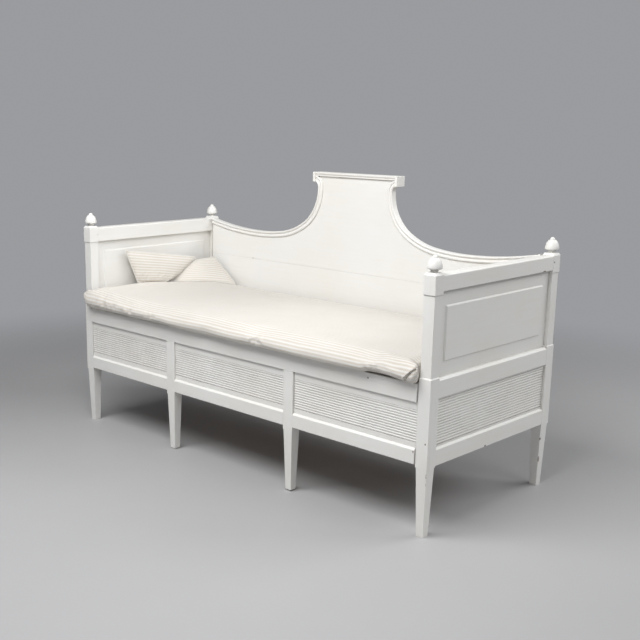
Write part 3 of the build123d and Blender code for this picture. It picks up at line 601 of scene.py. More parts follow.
def keep_clear(piece, others, gap, reach=0.04):
    """Moves points that lie in or too close to another piece out to its surface."""
    outward = Vector(RAY_WAY).normalized()
    for other in others:
        tree = BVHTree.FromObject(other, bpy.context.evaluated_depsgraph_get())
        points = points_of(piece.data)
        for i, point in enumerate(points):
            place = Vector(point)
            near, normal, _, away = tree.find_nearest(place, reach)
            if near is None:
                continue
            if is_inside(tree, place, outward):
                points[i] = near + (near - place).normalized() * gap
            elif away < gap:
                points[i] = near + (place - near).normalized() * gap
        set_points(piece.data, points)


def drift(points, scale, seed):
    """Smooth noise at each point, from about -1 to 1."""
    shift = Vector((seed, seed * 0.7, -seed))
    return np.array([noise.noise(Vector(p) * scale + shift) for p in points])


# ---------------------------------------------------------------- the mattress
MIDDLE_Z = (MATTRESS_LOW.z + MATTRESS_HIGH.z) / 2
HALF_THICKNESS = (MATTRESS_HIGH.z - MATTRESS_LOW.z) / 2
COVER_INSET = (0.004, 0.004, 0.001)
BLANK_ROUNDS = 8  # how often the blank is smoothed
ROLL = 0.058  # how far back from the front the top begins to fall
END_ROLLS = (0.034, 0.016)  # in from the left and the right end, before the posts
END_POWERS = (2.3, 4.5)
TOP_POWER = 2.3  # how square the front is: 2 is round, and more is squarer
LOW_POWER, LOW_POWER_RISE = 3.2, 1.8  # of the front's lower half, at the left and further at the right
END_POWER_RISE = 0.3  # of the ends' lower half
NEARLY_ALL = 0.99
BACK_ROLL = 0.030
BACK_POWERS = (2.2, 5.0)
POST_GAP = 0.0055
NOTCH_Y = FRONT_AXIS - (POST_HIGH.y - FRONT_AXIS) - POST_GAP
SIDE_X = INNER_FACE - POST_GAP
MOST_BEYOND_END, MOST_BEYOND_FRONT = 0.004, 0.006  # how far the cover may pass the frame's mattress
# Where the front is sewn through: how far along the front and how high
TUFTS = ((-0.738, 0.558), (-0.668, 0.553), (-0.559, 0.552), (-0.415, 0.550), (0.179, 0.548), (0.716, 0.548))
SLIT_LOW = Vector((0.838, 0.524))  # the folded corner: x and z of the slit's lower end
SLIT_HIGH = Vector((0.884, 0.574))
GROOVE_DEPTH, GROOVE_WIDTH = 0.013, 0.0028
TUCK_DEPTH, TUCK_WIDTH = 0.007, 0.016
LIP_HEIGHT, LIP_PLACE, LIP_WIDTH = 0.0022, 0.005, 0.0035
FOLD_INWARD = (-0.35, 0.93, 0.0)
ARCH = (0.672, 0.850)  # the lower edge lifts between these, fastest at the first
ARCH_RISE = 0.013
ARCH_LEAN = 0.65
LEFT_RISE = 0.015  # of the top towards the left end
LEFT_PART = (0.50, 0.84)  # how far out to the left the top rises
LEFT_RISE_FADE = (-0.8, -0.4)  # towards the back, as shares of the depth
BACK_DROP = 0.010  # of the top at the back edge
BACK_PART = (0.88, 1.0)
TOP_WANDER = (0.0024, 0.0012)  # broad and small waves of the top
EDGE_WANDER = 0.003  # of the lower front edge, up and down
EDGE_CLEARANCE = 0.001
EDGE_SOFTNESS = 0.012  # how far before and behind the front's face the overhang sets in
FRONT_SHARE = 0.12  # of the depth, over which the front wanders
FRONT_WANDER = 0.0035  # of the front, in and out
TIP_START = 0.855  # the left front corner lifts and draws back from here on
TIP_LIFT = (0.034, 0.004)  # more at the bottom than at the top
TIP_DRAW = 0.012


def smooth_step(values, low, high):
    """Goes softly from 0 to 1 as the values go from low to high."""
    part = np.clip((values - low) / (high - low), 0.0, 1.0)
    return part * part * (3 - 2 * part)


def before_the_posts(y):
    """1 before the front posts and 0 behind their front."""
    return smooth_step(-y, -NOTCH_Y - 0.015, -NOTCH_Y + 0.005)


def cover_length(y, z):
    """How far a point lies from the back along the cover, over the top, down the front and under."""
    start = MATTRESS_LOW.y + HALF_THICKNESS
    turn = np.arctan2(start - y, z - MIDDLE_Z)
    flat = MATTRESS_HIGH.y - np.maximum(y, start)
    rolled = HALF_THICKNESS * np.clip(turn, 0.0, math.pi)
    under = MATTRESS_HIGH.y - start + HALF_THICKNESS * math.pi + (y - start)
    return np.where((y > start) & (z < MIDDLE_Z), under, np.where(y > start, flat, flat + rolled))


def rounder(s, t, high_power, low_power):
    """Moves points of a square edge onto a rounder one; s and t are 1 on the outer faces."""
    power = np.where(t > 0, high_power, low_power)
    reach = np.maximum(np.abs(s), np.abs(t))
    length = (np.abs(s) ** power + np.abs(t) ** power) ** (1 / power)
    scale = np.where(s > 0, reach / np.maximum(length, 1e-6), 1.0)
    return s * scale, t * scale


def make_mattress_blank():
    """The frame's mattress a little smaller, with even cells and soft corners."""
    sizes = bpy.context.scene.bench_sizes
    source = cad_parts["mattress"]
    blank = add_object("mattress_cover", source.data.copy())
    points = points_of(blank.data)
    centre = (MATTRESS_LOW + MATTRESS_HIGH) / 2
    half = (MATTRESS_HIGH - MATTRESS_LOW) / 2
    for axis in range(3):
        shrink = 1 - COVER_INSET[axis] / half[axis]
        points[:, axis] = centre[axis] + (points[:, axis] - centre[axis]) * shrink
    set_points(blank.data, points)
    remesh(blank, sizes.mattress_cell, BLANK_ROUNDS)
    return blank


def round_edges(points):
    """Lets the top roll over the front, the front corners draw to a point and the back edge fall."""
    x, y, z = points.T
    t = (z - MIDDLE_Z) / HALF_THICKNESS
    front = MATTRESS_LOW.y + ROLL
    low_power = LOW_POWER + LOW_POWER_RISE * smooth_step(x, -0.1, 0.3)
    s, t = rounder(np.maximum((front - y) / ROLL, 0.0), t, TOP_POWER, low_power)
    y = np.where(y < front, front - s * ROLL, y)
    before_posts = before_the_posts(y)
    ends = (-MATTRESS_LOW.x, MATTRESS_HIGH.x)
    for side, end, roll, power in zip((-1, 1), ends, END_ROLLS, END_POWERS):
        start = end - roll
        s = before_posts * np.maximum((side * x - start) / roll, 0.0)
        s, t = rounder(s, t, power, power + END_POWER_RISE)
        x = np.where((side * x > start) & (before_posts > NEARLY_ALL), side * (start + s * roll), x)
    back = MATTRESS_HIGH.y - BACK_ROLL
    s, t = rounder(np.maximum((y - back) / BACK_ROLL, 0.0), t, *BACK_POWERS)
    y = np.where(y > back, back + s * BACK_ROLL, y)
    return np.stack((x, y, MIDDLE_Z + t * HALF_THICKNESS), axis=1)


def sag(points):
    """Crowns the top and lets it and the lower front edge wander."""
    sizes = bpy.context.scene.bench_sizes
    x, y, z = points.T
    height = np.clip((z - MATTRESS_LOW.z) / (MATTRESS_HIGH.z - MATTRESS_LOW.z), 0.0, 1.0)
    across = np.clip((y - MATTRESS_LOW.y) / (MATTRESS_HIGH.y - MATTRESS_LOW.y), 0.0, 1.0)
    crown = sizes.mattress_crown * np.sin(np.pi * across) ** 0.5
    left_rise = LEFT_RISE * smooth_step(-x, *LEFT_PART) * smooth_step(-across, *LEFT_RISE_FADE)
    back_drop = BACK_DROP * smooth_step(across, *BACK_PART)
    wander = TOP_WANDER[0] * drift(points, 4.0, 3.0) + TOP_WANDER[1] * drift(points, 13.0, 9.0)
    z = z + height * (crown + left_rise - back_drop + wander)
    overhang = smooth_step(FRONT_LOW.y - y, -EDGE_SOFTNESS, EDGE_SOFTNESS) * (1 - height)
    along = points * np.array((1, 0, 0))
    arch = np.sin(np.pi * np.clip((x - ARCH[0]) / (ARCH[1] - ARCH[0]), 0.0, 1.0) ** ARCH_LEAN)
    z = z + overhang * (EDGE_CLEARANCE + EDGE_WANDER * drift(along, 5.5, 1.0) + ARCH_RISE * arch)
    front_side = smooth_step(-across, -FRONT_SHARE, 0.0)
    y = y + front_side * FRONT_WANDER * drift(along, 5.0, 6.0)
    tip = smooth_step(-x, TIP_START, -MATTRESS_LOW.x) * before_the_posts(y)
    z = z + tip * (TIP_LIFT[0] * (1 - height) + TIP_LIFT[1])
    y = y + tip * front_side * TIP_DRAW
    return np.stack((x, y, z), axis=1)


def keep_mattress_in(points):
    """Keeps the cover on the slats, between the posts and before the back."""
    x, y, z = points.T
    beyond = (np.abs(x) > SIDE_X) & (y > NOTCH_Y)
    x = np.where(beyond, np.sign(x) * SIDE_X, x)
    x = np.clip(x, MATTRESS_LOW.x - MOST_BEYOND_END, MATTRESS_HIGH.x + MOST_BEYOND_END)
    y = np.clip(y, MATTRESS_LOW.y - MOST_BEYOND_FRONT, MATTRESS_HIGH.y)
    return np.stack((x, y, np.maximum(z, MATTRESS_LOW.z)), axis=1)


GATHER_CORE = 0.3  # share of the reach that is drawn in
FOLD_BEND = 1.5
FOLD_TURN = 60  # turns the folds by where they are, so that no two places look alike
FOLD_FALL = 1.6
FOLD_SHARE = 0.75  # height of the folds, as a share of the depth


def gather(points, place, axes, reach, folds, depth):
    """Draws the cloth in at a place, with folds that run out from it.

    The first axis points out of the cloth, the others lie in it."""
    outward, side, up = (np.array(axis) for axis in axes)
    offset = points - np.array(place)
    away = np.linalg.norm(offset, axis=1)
    angle = np.arctan2(offset @ up, offset @ side)
    drawn_in = np.exp(-((away / (reach * GATHER_CORE)) ** 2))
    bent = angle + FOLD_BEND * drift(points, 30.0, 2.0)
    waves = np.sin(folds * bent + FOLD_TURN * place[0])
    ripple = waves * (away / reach) * np.exp(-((away / reach) ** 2) * FOLD_FALL)
    return points + np.outer(depth * (FOLD_SHARE * ripple - drawn_in), outward)


def slit_distances(points):
    """Signed distance from the slit's line (positive on the side of the end) and place along it."""
    line = SLIT_HIGH - SLIT_LOW
    offset_x, offset_z = points[:, 0] - SLIT_LOW.x, points[:, 2] - SLIT_LOW.y
    along = (offset_x * line.x + offset_z * line.y) / line.length_squared
    across = (offset_x * line.y - offset_z * line.x) / line.length
    return across, along


def fold_corner(points):
    """Tucks the right end in behind the front, so that a slit stays open between them."""
    across, along = slit_distances(points)
    on_front = smooth_step(MATTRESS_LOW.y + 0.030 - points[:, 1], 0.0, 0.012)
    within = smooth_step(along, -0.12, 0.10) * smooth_step(-along, -1.12, -0.95) * on_front
    groove = GROOVE_DEPTH * np.exp(-((across / GROOVE_WIDTH) ** 2))
    tuck = TUCK_DEPTH * smooth_step(across, 0.0, 0.003) * np.exp(-np.maximum(across, 0.0) / TUCK_WIDTH)
    lip = LIP_HEIGHT * np.exp(-(((across + LIP_PLACE) / LIP_WIDTH) ** 2))
    inward = np.array(FOLD_INWARD)
    return points + np.outer(within * (groove + tuck - lip), inward)


def split_cells(piece, is_near):
    """Halves the cells whose middles lie near the fine work."""
    work = bmesh.new()
    work.from_mesh(piece.data)
    near = [face for face in work.faces if is_near(face.calc_center_median())]
    edges = {edge.index: edge for face in near for edge in face.edges}
    bmesh.ops.subdivide_edges(work, edges=[edges[i] for i in sorted(edges)], cuts=1, use_grid_fill=True)
    work.to_mesh(piece.data)
    work.free()


def near_slit(reach):
    """A test of whether a place lies near the folded corner's slit."""
    middle = (SLIT_LOW + SLIT_HIGH) / 2
    half = (SLIT_HIGH - SLIT_LOW).length / 2

    def is_near(place):
        away = Vector((place.x, place.z)) - middle
        return place.y < MATTRESS_LOW.y + 0.03 and away.length < half + reach
    return is_near


FRONT_AXES = ((0, -1, 0), (1, 0, 0), (0, 0, 1))
TOP_AXES = ((0, 0, 1), (1, 0, 0), (0, 1, 0))
TUFT_INSET = 0.004
TUFT_GATHER = (0.045, 5, 0.0060)  # reach, number of folds and depth
CORNER_INSET = (0.010, 0.015, -0.010)
CORNER_GATHER = (0.13, 11, 0.0040)
RIPPLE_HEIGHT = 0.0020  # of the creased cloth at the left of the front
RIPPLE_WAY = (0, -0.5, 0.85)
HELD_HEIGHT = 0.002  # what lies lower stays where it is when the cover is filled
HELD_REACH = 0.012  # and so does what is nearer to a stitch
SLIT_REACHES = (0.014, 0.010)  # round the slit, where the cells are halved


def crease_mattress(points):
    """Draws the cloth in at the stitches and at the left corner, and creases it between them."""
    for x, z in TUFTS:
        points = gather(points, (x, MATTRESS_LOW.y + TUFT_INSET, z), FRONT_AXES, *TUFT_GATHER)
    edge = (MATTRESS_LOW.x, MATTRESS_LOW.y, MATTRESS_HIGH.z)
    left_corner = [at + inset for at, inset in zip(edge, CORNER_INSET)]
    points = gather(points, left_corner, TOP_AXES, *CORNER_GATHER)
    near_front = smooth_step(-points[:, 1], -MATTRESS_LOW.y - 0.10, -MATTRESS_LOW.y)
    left_front = smooth_step(-points[:, 0], 0.35, 0.75) * near_front
    ripples = drift(points * np.array((1.0, 1.6, 1.6)), 24.0, 4.0)
    return points + np.outer(RIPPLE_HEIGHT * left_front * ripples, np.array(RIPPLE_WAY))


def mattress_cover():
    """The mattress's cloth: rounded, sagged, filled, folded at its corner and creased."""
    blank = make_mattress_blank()
    flat = points_of(blank.data)
    store(blank.data, "cloth_across", cover_length(flat[:, 1], flat[:, 2]))
    store(blank.data, "cloth_along", flat[:, 0])
    points = sag(round_edges(flat))
    held = points[:, 2] < MATTRESS_LOW.z + HELD_HEIGHT
    for x, z in TUFTS:
        held |= np.linalg.norm(points - np.array((x, MATTRESS_LOW.y, z)), axis=1) < HELD_REACH
    set_points(blank.data, points)
    inflate(blank, MATTRESS_PRESSURE, held)
    refine(blank)
    for reach in SLIT_REACHES:
        split_cells(blank, near_slit(reach))
    points = fold_corner(crease_mattress(points_of(blank.data)))
    set_points(blank.data, keep_mattress_in(points))
    return blank


# ---------------------------------------------------------------- the pillows
# Corners of each pillow's middle face: front low, back low, back high and front high
PILLOW_CORNERS = {
    "end_pillow": (
        (-0.838, 0.204, 0.595), (-0.802, 0.338, 0.596), (-0.842, 0.560, 0.690), (-0.860, 0.157, 0.752),
    ),
    "corner_pillow": (
        (-0.848, 0.335, 0.592), (-0.672, 0.653, 0.586), (-0.834, 0.664, 0.682), (-0.858, 0.505, 0.672),
    ),
}
PILLOW_FULLNESS = {"end_pillow": (1.0, 0.9), "corner_pillow": (0.25, 1.0)}  # at the front and the back edge
PILLOW_COLUMNS = 64
PILLOW_ROWS = 34
PILLOW_GATHER = (0.060, 9, 0.0035)
PILLOW_CRUMPLE = 0.0016
PILLOW_GAP = 0.0004  # beyond the seam, from what it lies on
SEAM_REST = 1.5  # height of the lower corners over the mattress, in seam radii
BOW = 0.014  # of the middle face towards its back
BOW_TO_ONE = 6.75  # brings the most of v (1 - v)^2 to one
BOW_WAY = (0.0, 0.85, -0.5)
BULGE_POWERS = (3.0, 2.4, 0.6)
THREAD_RADIUS = 0.0006
STITCH_REACH = 0.006  # in from the sewn edge
STITCH_OVER = 0.0022  # out past it
STITCH_RISE = 0.0042  # from the edge's middle plane, at the stitch's ends
STITCH_TURN = 0.0012  # the same where the thread turns round the edge
REST_GAP = 0.0032  # from the end and from the back


def surface_height(tree, place):
    """Height of a piece's top above a place."""
    hit = tree.ray_cast(Vector((place.x, place.y, place.z + 0.2)), Vector((0, 0, -1)))[0]
    return hit.z if hit else place.z


def pillow_points(name, mattress):
    """Two faces sewn together round a bulged middle face, with the cloth's own measures."""
    sizes = bpy.context.scene.bench_sizes
    low_front, low_back, high_back, high_front = (from_front_axis(c) for c in PILLOW_CORNERS[name])
    fullness = PILLOW_FULLNESS[name]
    tree = BVHTree.FromObject(mattress, bpy.context.evaluated_depsgraph_get())
    for corner in (low_front, low_back):
        corner.z = surface_height(tree, corner) + sizes.seam_radius * SEAM_REST
    length = (high_back - high_front).length
    height = (high_front - low_front).length
    normal = (low_back - low_front).cross(high_front - low_front).normalized()
    if normal.x < 0:
        normal.negate()
    points, across, along = [], [], []
    for side in (1, -1):
        for j in range(PILLOW_ROWS + 1):
            for i in range(PILLOW_COLUMNS + 1):
                u, v = i / PILLOW_COLUMNS, j / PILLOW_ROWS
                low, high = low_front.lerp(low_back, u), high_front.lerp(high_back, u)
                bow = BOW * BOW_TO_ONE * v * (1 - v) ** 2 * float(smooth_step(u, 0.5, 1.0))
                place = low.lerp(high, v) + Vector(BOW_WAY) * bow
                wide, tall = 1 - abs(2 * u - 1) ** BULGE_POWERS[0], 1 - abs(2 * v - 1) ** BULGE_POWERS[1]
                bulge = (wide * tall) ** BULGE_POWERS[2]
                full = fullness[0] + (fullness[1] - fullness[0]) * float(smooth_step(u, 0.0, 0.6))
                points.append(place + normal * side * bulge * full * sizes.pillow_thickness / 2)
                across.append((1 - v) * height)
                along.append(u * length)
    return points, across, along, normal


def grid_faces(columns, rows):
    """Faces of two grids that share their rim."""
    def at(side, i, j):
        rim = i in (0, columns) or j in (0, rows)
        return (0 if rim else side) * (columns + 1) * (rows + 1) + j * (columns + 1) + i

    faces = []
    for side in (0, 1):
        for j in range(rows):
            for i in range(columns):
                face = [at(side, i, j), at(side, i + 1, j), at(side, i + 1, j + 1), at(side, i, j + 1)]
                faces.append(face if side == 0 else face[::-1])
    return faces


def rim_of(columns, rows):
    """Indices of the points round the sewn edge, in order."""
    row = columns + 1
    low = [i for i in range(columns)]
    back = [j * row + columns for j in range(rows)]
    high = [rows * row + i for i in range(columns, 0, -1)]
    front = [j * row for j in range(rows, 0, -1)]
    return low + back + high + front


def drop_loose(piece):
    """Removes the second grid's unused rim points, keeping the others' order."""
    work = bmesh.new()
    work.from_mesh(piece.data)
    bmesh.ops.delete(work, geom=[point for point in work.verts if not point.link_faces], context="VERTS")
    work.to_mesh(piece.data)
    work.free()


def sharpen_rim(piece, rim):
    """Keeps the sewn edge where it is when the cover is refined."""
    edge_of = {tuple(sorted(edge.vertices)): edge.index for edge in piece.data.edges}
    crease = np.zeros(len(piece.data.edges), np.float32)
    for first, second in zip(rim, rim[1:] + rim[:1]):
        crease[edge_of[tuple(sorted((first, second)))]] = 1.0
    piece.data.attributes.new("crease_edge", "FLOAT", "EDGE").data.foreach_set("value", crease)


def keep_pillow_in(points):
    """Keeps a pillow off the end and the back."""
    x, y, z = points.T
    x = np.maximum(x, END_RAIL_HIGH.x + REST_GAP)
    y = np.minimum(y, MOULDING_LOW.y - REST_GAP)
    return np.stack((x, y, z), axis=1)


def make_pillow(name, resting_on):
    """Sews, fills and creases a pillow; gives its cover and the seam round it."""
    sizes = bpy.context.scene.bench_sizes
    points, across, along, normal = pillow_points(name, resting_on[0])
    piece = new_piece(f"{name}_cover", points, grid_faces(PILLOW_COLUMNS, PILLOW_ROWS))
    store(piece.data, "cloth_across", across)
    store(piece.data, "cloth_along", along)
    drop_loose(piece)
    rim = rim_of(PILLOW_COLUMNS, PILLOW_ROWS)
    sharpen_rim(piece, rim)
    held = np.zeros(len(piece.data.vertices), bool)
    held[rim] = True
    inflate(piece, PILLOW_PRESSURE, held)
    corner_points = (0, PILLOW_COLUMNS, rim[PILLOW_COLUMNS + PILLOW_ROWS], rim[-PILLOW_ROWS])
    corners = [Vector(points[i]) for i in corner_points]
    sideways = (corners[1] - corners[0]).normalized()
    axes = (normal, sideways, normal.cross(sideways))
    soft = points_of(piece.data)
    for corner in corners:
        soft = gather(soft, corner, axes, *PILLOW_GATHER)
    soft += np.outer(PILLOW_CRUMPLE * drift(soft, 22.0, 5.0), np.array(normal))
    soft[rim] = points_of(piece.data)[rim]
    set_points(piece.data, keep_pillow_in(soft))
    keep_clear(piece, resting_on, sizes.seam_radius + PILLOW_GAP)
    path = [piece.data.vertices[i].co.copy() for i in rim]
    seam = tube(f"{name}_seam", [path], sizes.seam_radius, closed=True)
    stitches = sew_round(name, path, normal)
    refine(piece)
    return piece, seam, stitches


def sew_round(name, path, normal):
    """Small stitches over the sewn edge."""
    middle = sum(path, Vector()) / len(path)
    stitches = []
    for before, place, after in zip(path[0::2], path[1::2], path[2::2]):
        inward = normal.cross(after - before).normalized()
        if inward.dot(middle - place) < 0:
            inward.negate()
        inner, outer = place + inward * STITCH_REACH, place - inward * STITCH_OVER
        high, low = normal * STITCH_RISE, normal * STITCH_TURN
        stitches.append([inner + high, outer + low, outer - low, inner - high])
    return tube(f"{name}_stitches", stitches, THREAD_RADIUS)


def tube(name, paths, radius, closed=False):
    """A round thread that follows each path."""
    curve = bpy.data.curves.new(name, "CURVE")
    curve.dimensions = "3D"
    curve.bevel_depth = radius
    curve.bevel_resolution = 2
    for path in paths:
        spline = curve.splines.new("POLY")
        spline.points.add(len(path) - 1)
        for point, place in zip(spline.points, path):
            point.co = (*place, 1.0)
        spline.use_cyclic_u = closed
    return add_object(name, curve)


# ---------------------------------------------------------------- operators
class DressOperator:
    """What the dressing operators share."""

    bl_options = {"REGISTER", "UNDO"}

    def coat_nodes(self, starts, material, rounding=True):
        """Gives the material to all nodes whose names begin with one of the words."""
        nodes = nodes_named(starts)
        if not nodes:
            raise RuntimeError(f"the frame has no node for {starts}")
        for node in nodes:
            coat(node, material)
            if rounding:
                soften(node, bpy.context.scene.bench_sizes.edge_rounding)


class BENCH_OT_posts(DressOperator, bpy.types.Operator):
    """Paints the posts, the middle legs and the finials"""

    bl_idname = "bench.posts"
    bl_label = "Posts, legs and finials"

    def execute(self, context):
        self.coat_nodes(ALONG_Z, old_paint("paint_upright", PAINT_ALONG_Z))
        return {"FINISHED"}


class BENCH_OT_ends(DressOperator, bpy.types.Operator):
    """Paints the rails and panels of both ends"""

    bl_idname = "bench.ends"
    bl_label = "Ends"

    def execute(self, context):
        self.coat_nodes(ALONG_Y, old_paint("paint_ends", PAINT_ALONG_Y))
        # The reeded panels get stronger painted shade in their grooves
        reeds = old_paint("paint_end_reeds", PAINT_ALONG_Y, **REED_DUST_AND_SHADE)
        self.coat_nodes(("end_reeded_panel",), reeds)
        return {"FINISHED"}


class BENCH_OT_front_and_back(DressOperator, bpy.types.Operator):
    """Paints the back and the front that pulls out"""

    bl_idname = "bench.front_and_back"
    bl_label = "Front and back"

    def execute(self, context):
        self.coat_nodes(ALONG_X, old_paint("paint_long", PAINT_ALONG_X))
        # The reeded panels get stronger painted shade in their grooves
        reeds = old_paint("paint_front_reeds", PAINT_ALONG_X, **REED_DUST_AND_SHADE)
        self.coat_nodes(("front_reeded_panel",), reeds)
        return {"FINISHED"}


class BENCH_OT_bare_wood(DressOperator, bpy.types.Operator):
    """Leaves the slats, their beams and blocks and the runners in bare pine"""

    bl_idname = "bench.bare_wood"
    bl_label = "Slats and runners"

    def execute(self, context):
        along_y = bare_pine("pine_slats", PINE_ALONG_Y)
        along_x = bare_pine("pine_beams", PINE_ALONG_X)
        upright = bare_pine("pine_blocks", PINE_ALONG_Z)
        self.coat_nodes(LYING_ALONG_Y, along_y)
        self.coat_nodes(LYING_ALONG_X, along_x)
        self.coat_nodes(STANDING, upright)
        return {"FINISHED"}


class BENCH_OT_screws(DressOperator, bpy.types.Operator):
    """Gives the slats' screws dull steel"""

    bl_idname = "bench.screws"
    bl_label = "Screws"

    def execute(self, context):
        self.coat_nodes(STEEL, dull_steel("screw_steel"), rounding=False)
        return {"FINISHED"}


class BENCH_OT_mattress(bpy.types.Operator):
    """Makes the thin striped mattress"""

    bl_idname = "bench.mattress"
    bl_label = "Mattress"

    def execute(self, context):
        cover = mattress_cover()
        coat(cover, ticking("ticking_mattress", 0.95))
        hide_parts("mattress")
        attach(cover, "mattress")
        return {"FINISHED"}


class BENCH_OT_pillows(bpy.types.Operator):
    """Makes the two small striped pillows, the one in the corner first"""

    bl_idname = "bench.pillows"
    bl_label = "Pillows"

    def execute(self, context):
        cotton = ticking("ticking_pillows", 1.0)
        below = [bpy.data.objects["mattress_cover"]]
        for name in ("corner_pillow", "end_pillow"):
            cover, seam, stitches = make_pillow(name, below)
            for piece in (cover, seam, stitches):
                coat(piece, cotton)
                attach(piece, name)
            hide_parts(name)
            below.append(cover)
        return {"FINISHED"}


class BENCH_OT_stage(bpy.types.Operator):
    """Sets the floor, the lights and the camera"""

    bl_idname = "bench.stage"
    bl_label = "Stage"

    def execute(self, context):
        lay_floor(context.scene.bench_stage)
        hang_backdrop(context.scene.bench_stage)
        hang_lights(context.scene.bench_stage)
        set_camera()
        return {"FINISHED"}


# ---------------------------------------------------------------- stage
FLOOR_SIDE = 12.0
FLOOR_SOLID_OUT_TO = 1.7
FLOOR_GONE_BY = 3.5
PICTURE_SIDE = 640.0
SENSOR = 36.0
FOCAL_PIXELS = 1002.43
CENTRE_PIXEL = (246.22, 348.74)
CAMERA_PLACE = (2.68343, -2.54743, 1.32931)  # from the front posts' axis
CAMERA_YAW = 0.79823
CAMERA_PITCH = 0.22644
CAMERA_ROLL = 0.00676


def lay_floor(stage):
    """A pale floor that fades into the plain backdrop further out."""
    half = FLOOR_SIDE / 2
    corners = [(-half, -half, 0), (half, -half, 0), (half, half, 0), (-half, half, 0)]
    floor = new_piece("floor", corners, [(0, 1, 2, 3)])
    material, tree, surface = finish_material("floor_paint")
    patches = ramp(tree, cloud(tree, own_place(tree), 0.8, 4.0, 0.5), 0.3, 0.7)
    darker = opaque([c * 0.94 for c in stage.floor])
    tree.links.new(blend_colour(tree, patches, opaque(stage.floor), darker), surface.inputs["Base Color"])
    tree.links.new(ramp(tree, patches, 0.0, 1.0, 0.5, 0.6), surface.inputs["Roughness"])
    away = put(tree, "ShaderNodeVectorMath", {0: own_place(tree)}, operation="LENGTH").outputs["Value"]
    fade = ramp(tree, away, FLOOR_SOLID_OUT_TO, FLOOR_GONE_BY, 1.0, 0.0)
    tree.links.new(fade, surface.inputs["Alpha"])
    coat(floor, material)


def hang_backdrop(stage):
    """A plain backdrop that is seen in full and lights the bench only in part."""
    world = bpy.data.worlds.new("backdrop")
    bpy.context.scene.world = world
    world.use_nodes = True
    tree = world.node_tree
    seen = tree.nodes["Background"]
    seen.inputs["Color"].default_value = opaque(stage.backdrop)
    dimmed = {"Color": opaque(stage.backdrop), "Strength": stage.room_light}
    lit = put(tree, "ShaderNodeBackground", dimmed)
    ray = put(tree, "ShaderNodeLightPath").outputs["Is Camera Ray"]
    both = put(tree, "ShaderNodeMixShader", {0: ray, 1: lit.outputs[0], 2: seen.outputs[0]})
    tree.links.new(both.outputs[0], tree.nodes["World Output"].inputs["Surface"])
    bpy.context.scene.view_settings.view_transform = "Standard"


LIGHT_AIM = (0.0, 0.0, 0.4)
# Where each light hangs, and its width and height
LIGHTS = {
    "overhead": ((0.2, -1.7, 2.8), (2.4, 1.6)),
    "behind": ((2.5, 2.5, 3.0), (2.4, 1.8)),
    "right": ((4.0, 0.2, 3.0), (2.2, 1.8)),
    "before": ((3.0, -3.6, 2.2), (2.2, 1.8)),
}


def hang_lights(stage):
    """Soft lights that the camera doesn't see: above, behind, and two weaker ones at the right."""
    for name, (place, size) in LIGHTS.items():
        light = bpy.data.lights.new(name, "AREA")
        light.shape = "RECTANGLE"
        light.size, light.size_y = size
        light.energy = getattr(stage, f"{name}_watts")
        lamp = add_object(name, light)
        lamp.visible_camera = False
        lamp.location = place
        lamp.rotation_euler = (Vector(LIGHT_AIM) - Vector(place)).to_track_quat("-Z", "Y").to_euler()


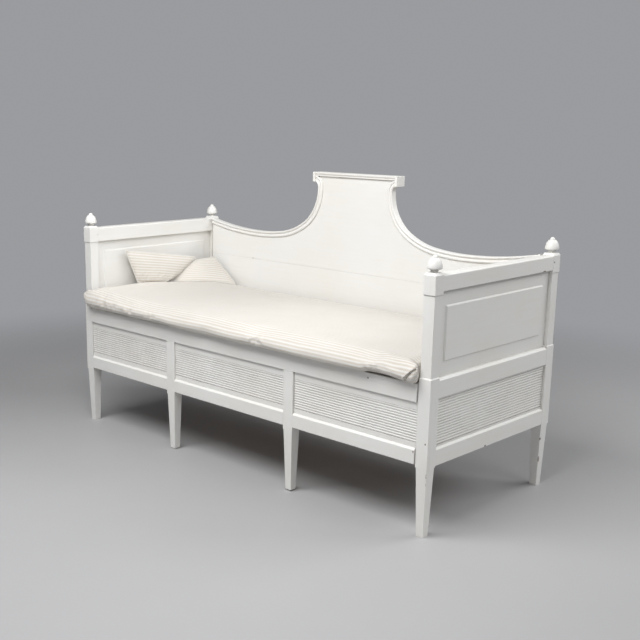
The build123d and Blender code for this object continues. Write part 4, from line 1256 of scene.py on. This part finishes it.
def set_camera():
    """Looks down at the bench from before its right corner."""
    forward = Vector((
        -math.sin(CAMERA_YAW) * math.cos(CAMERA_PITCH),
        math.cos(CAMERA_YAW) * math.cos(CAMERA_PITCH),
        -math.sin(CAMERA_PITCH),
    ))
    level = Vector((math.cos(CAMERA_YAW), math.sin(CAMERA_YAW), 0.0))
    upward = level.cross(forward)
    right = level * math.cos(CAMERA_ROLL) + upward * math.sin(CAMERA_ROLL)
    up = upward * math.cos(CAMERA_ROLL) - level * math.sin(CAMERA_ROLL)
    camera = bpy.data.cameras.new("camera")
    camera.sensor_width = SENSOR
    camera.lens = FOCAL_PIXELS / PICTURE_SIDE * SENSOR
    camera.shift_x = (PICTURE_SIDE / 2 - CENTRE_PIXEL[0]) / PICTURE_SIDE
    camera.shift_y = (CENTRE_PIXEL[1] - PICTURE_SIDE / 2) / PICTURE_SIDE
    holder = add_object("camera", camera)
    turn = Matrix((right, up, -forward)).transposed().to_4x4()
    holder.matrix_world = Matrix.Translation(Vector(CAMERA_PLACE) + Vector((0, FRONT_AXIS, 0))) @ turn
    bpy.context.scene.camera = holder


# ---------------------------------------------------------------- panel and registration
OPERATORS = (
    BENCH_OT_posts, BENCH_OT_ends, BENCH_OT_front_and_back, BENCH_OT_bare_wood, BENCH_OT_screws,
    BENCH_OT_mattress, BENCH_OT_pillows, BENCH_OT_stage,
)
GROUPS = {"bench_sizes": BenchSizes, "bench_colours": BenchColours, "bench_stage": BenchStage}


class BENCH_PT_sidebar(bpy.types.Panel):
    """Lists the steps that dress the bench bed"""

    bl_idname = "BENCH_PT_sidebar"
    bl_label = "Bench Bed"
    bl_space_type = "VIEW_3D"
    bl_region_type = "UI"
    bl_category = "Bench Bed"

    def draw(self, context):
        for name in GROUPS:
            box = self.layout.box()
            for key in getattr(context.scene, name).bl_rna.properties.keys():
                if key not in ("rna_type", "name"):
                    box.prop(getattr(context.scene, name), key)
        for operator in OPERATORS:
            self.layout.operator(operator.bl_idname)


def register():
    """Adds the settings, the steps and the panel."""
    for group_class in GROUPS.values():
        bpy.utils.register_class(group_class)
    for operator in OPERATORS:
        bpy.utils.register_class(operator)
    bpy.utils.register_class(BENCH_PT_sidebar)
    for name, group_class in GROUPS.items():
        setattr(bpy.types.Scene, name, bpy.props.PointerProperty(type=group_class))


def unregister():
    """Takes the settings, the steps and the panel away."""
    for name in GROUPS:
        delattr(bpy.types.Scene, name)
    bpy.utils.unregister_class(BENCH_PT_sidebar)
    for operator in reversed(OPERATORS):
        bpy.utils.unregister_class(operator)
    for group_class in GROUPS.values():
        bpy.utils.unregister_class(group_class)


def main():
    """Dresses the bench bed step by step."""
    register()
    bpy.ops.bench.posts()
    bpy.ops.bench.ends()
    bpy.ops.bench.front_and_back()
    bpy.ops.bench.bare_wood()
    bpy.ops.bench.screws()
    bpy.ops.bench.mattress()
    bpy.ops.bench.pillows()
    bpy.ops.bench.stage()


if __name__ == "__main__":
    main()
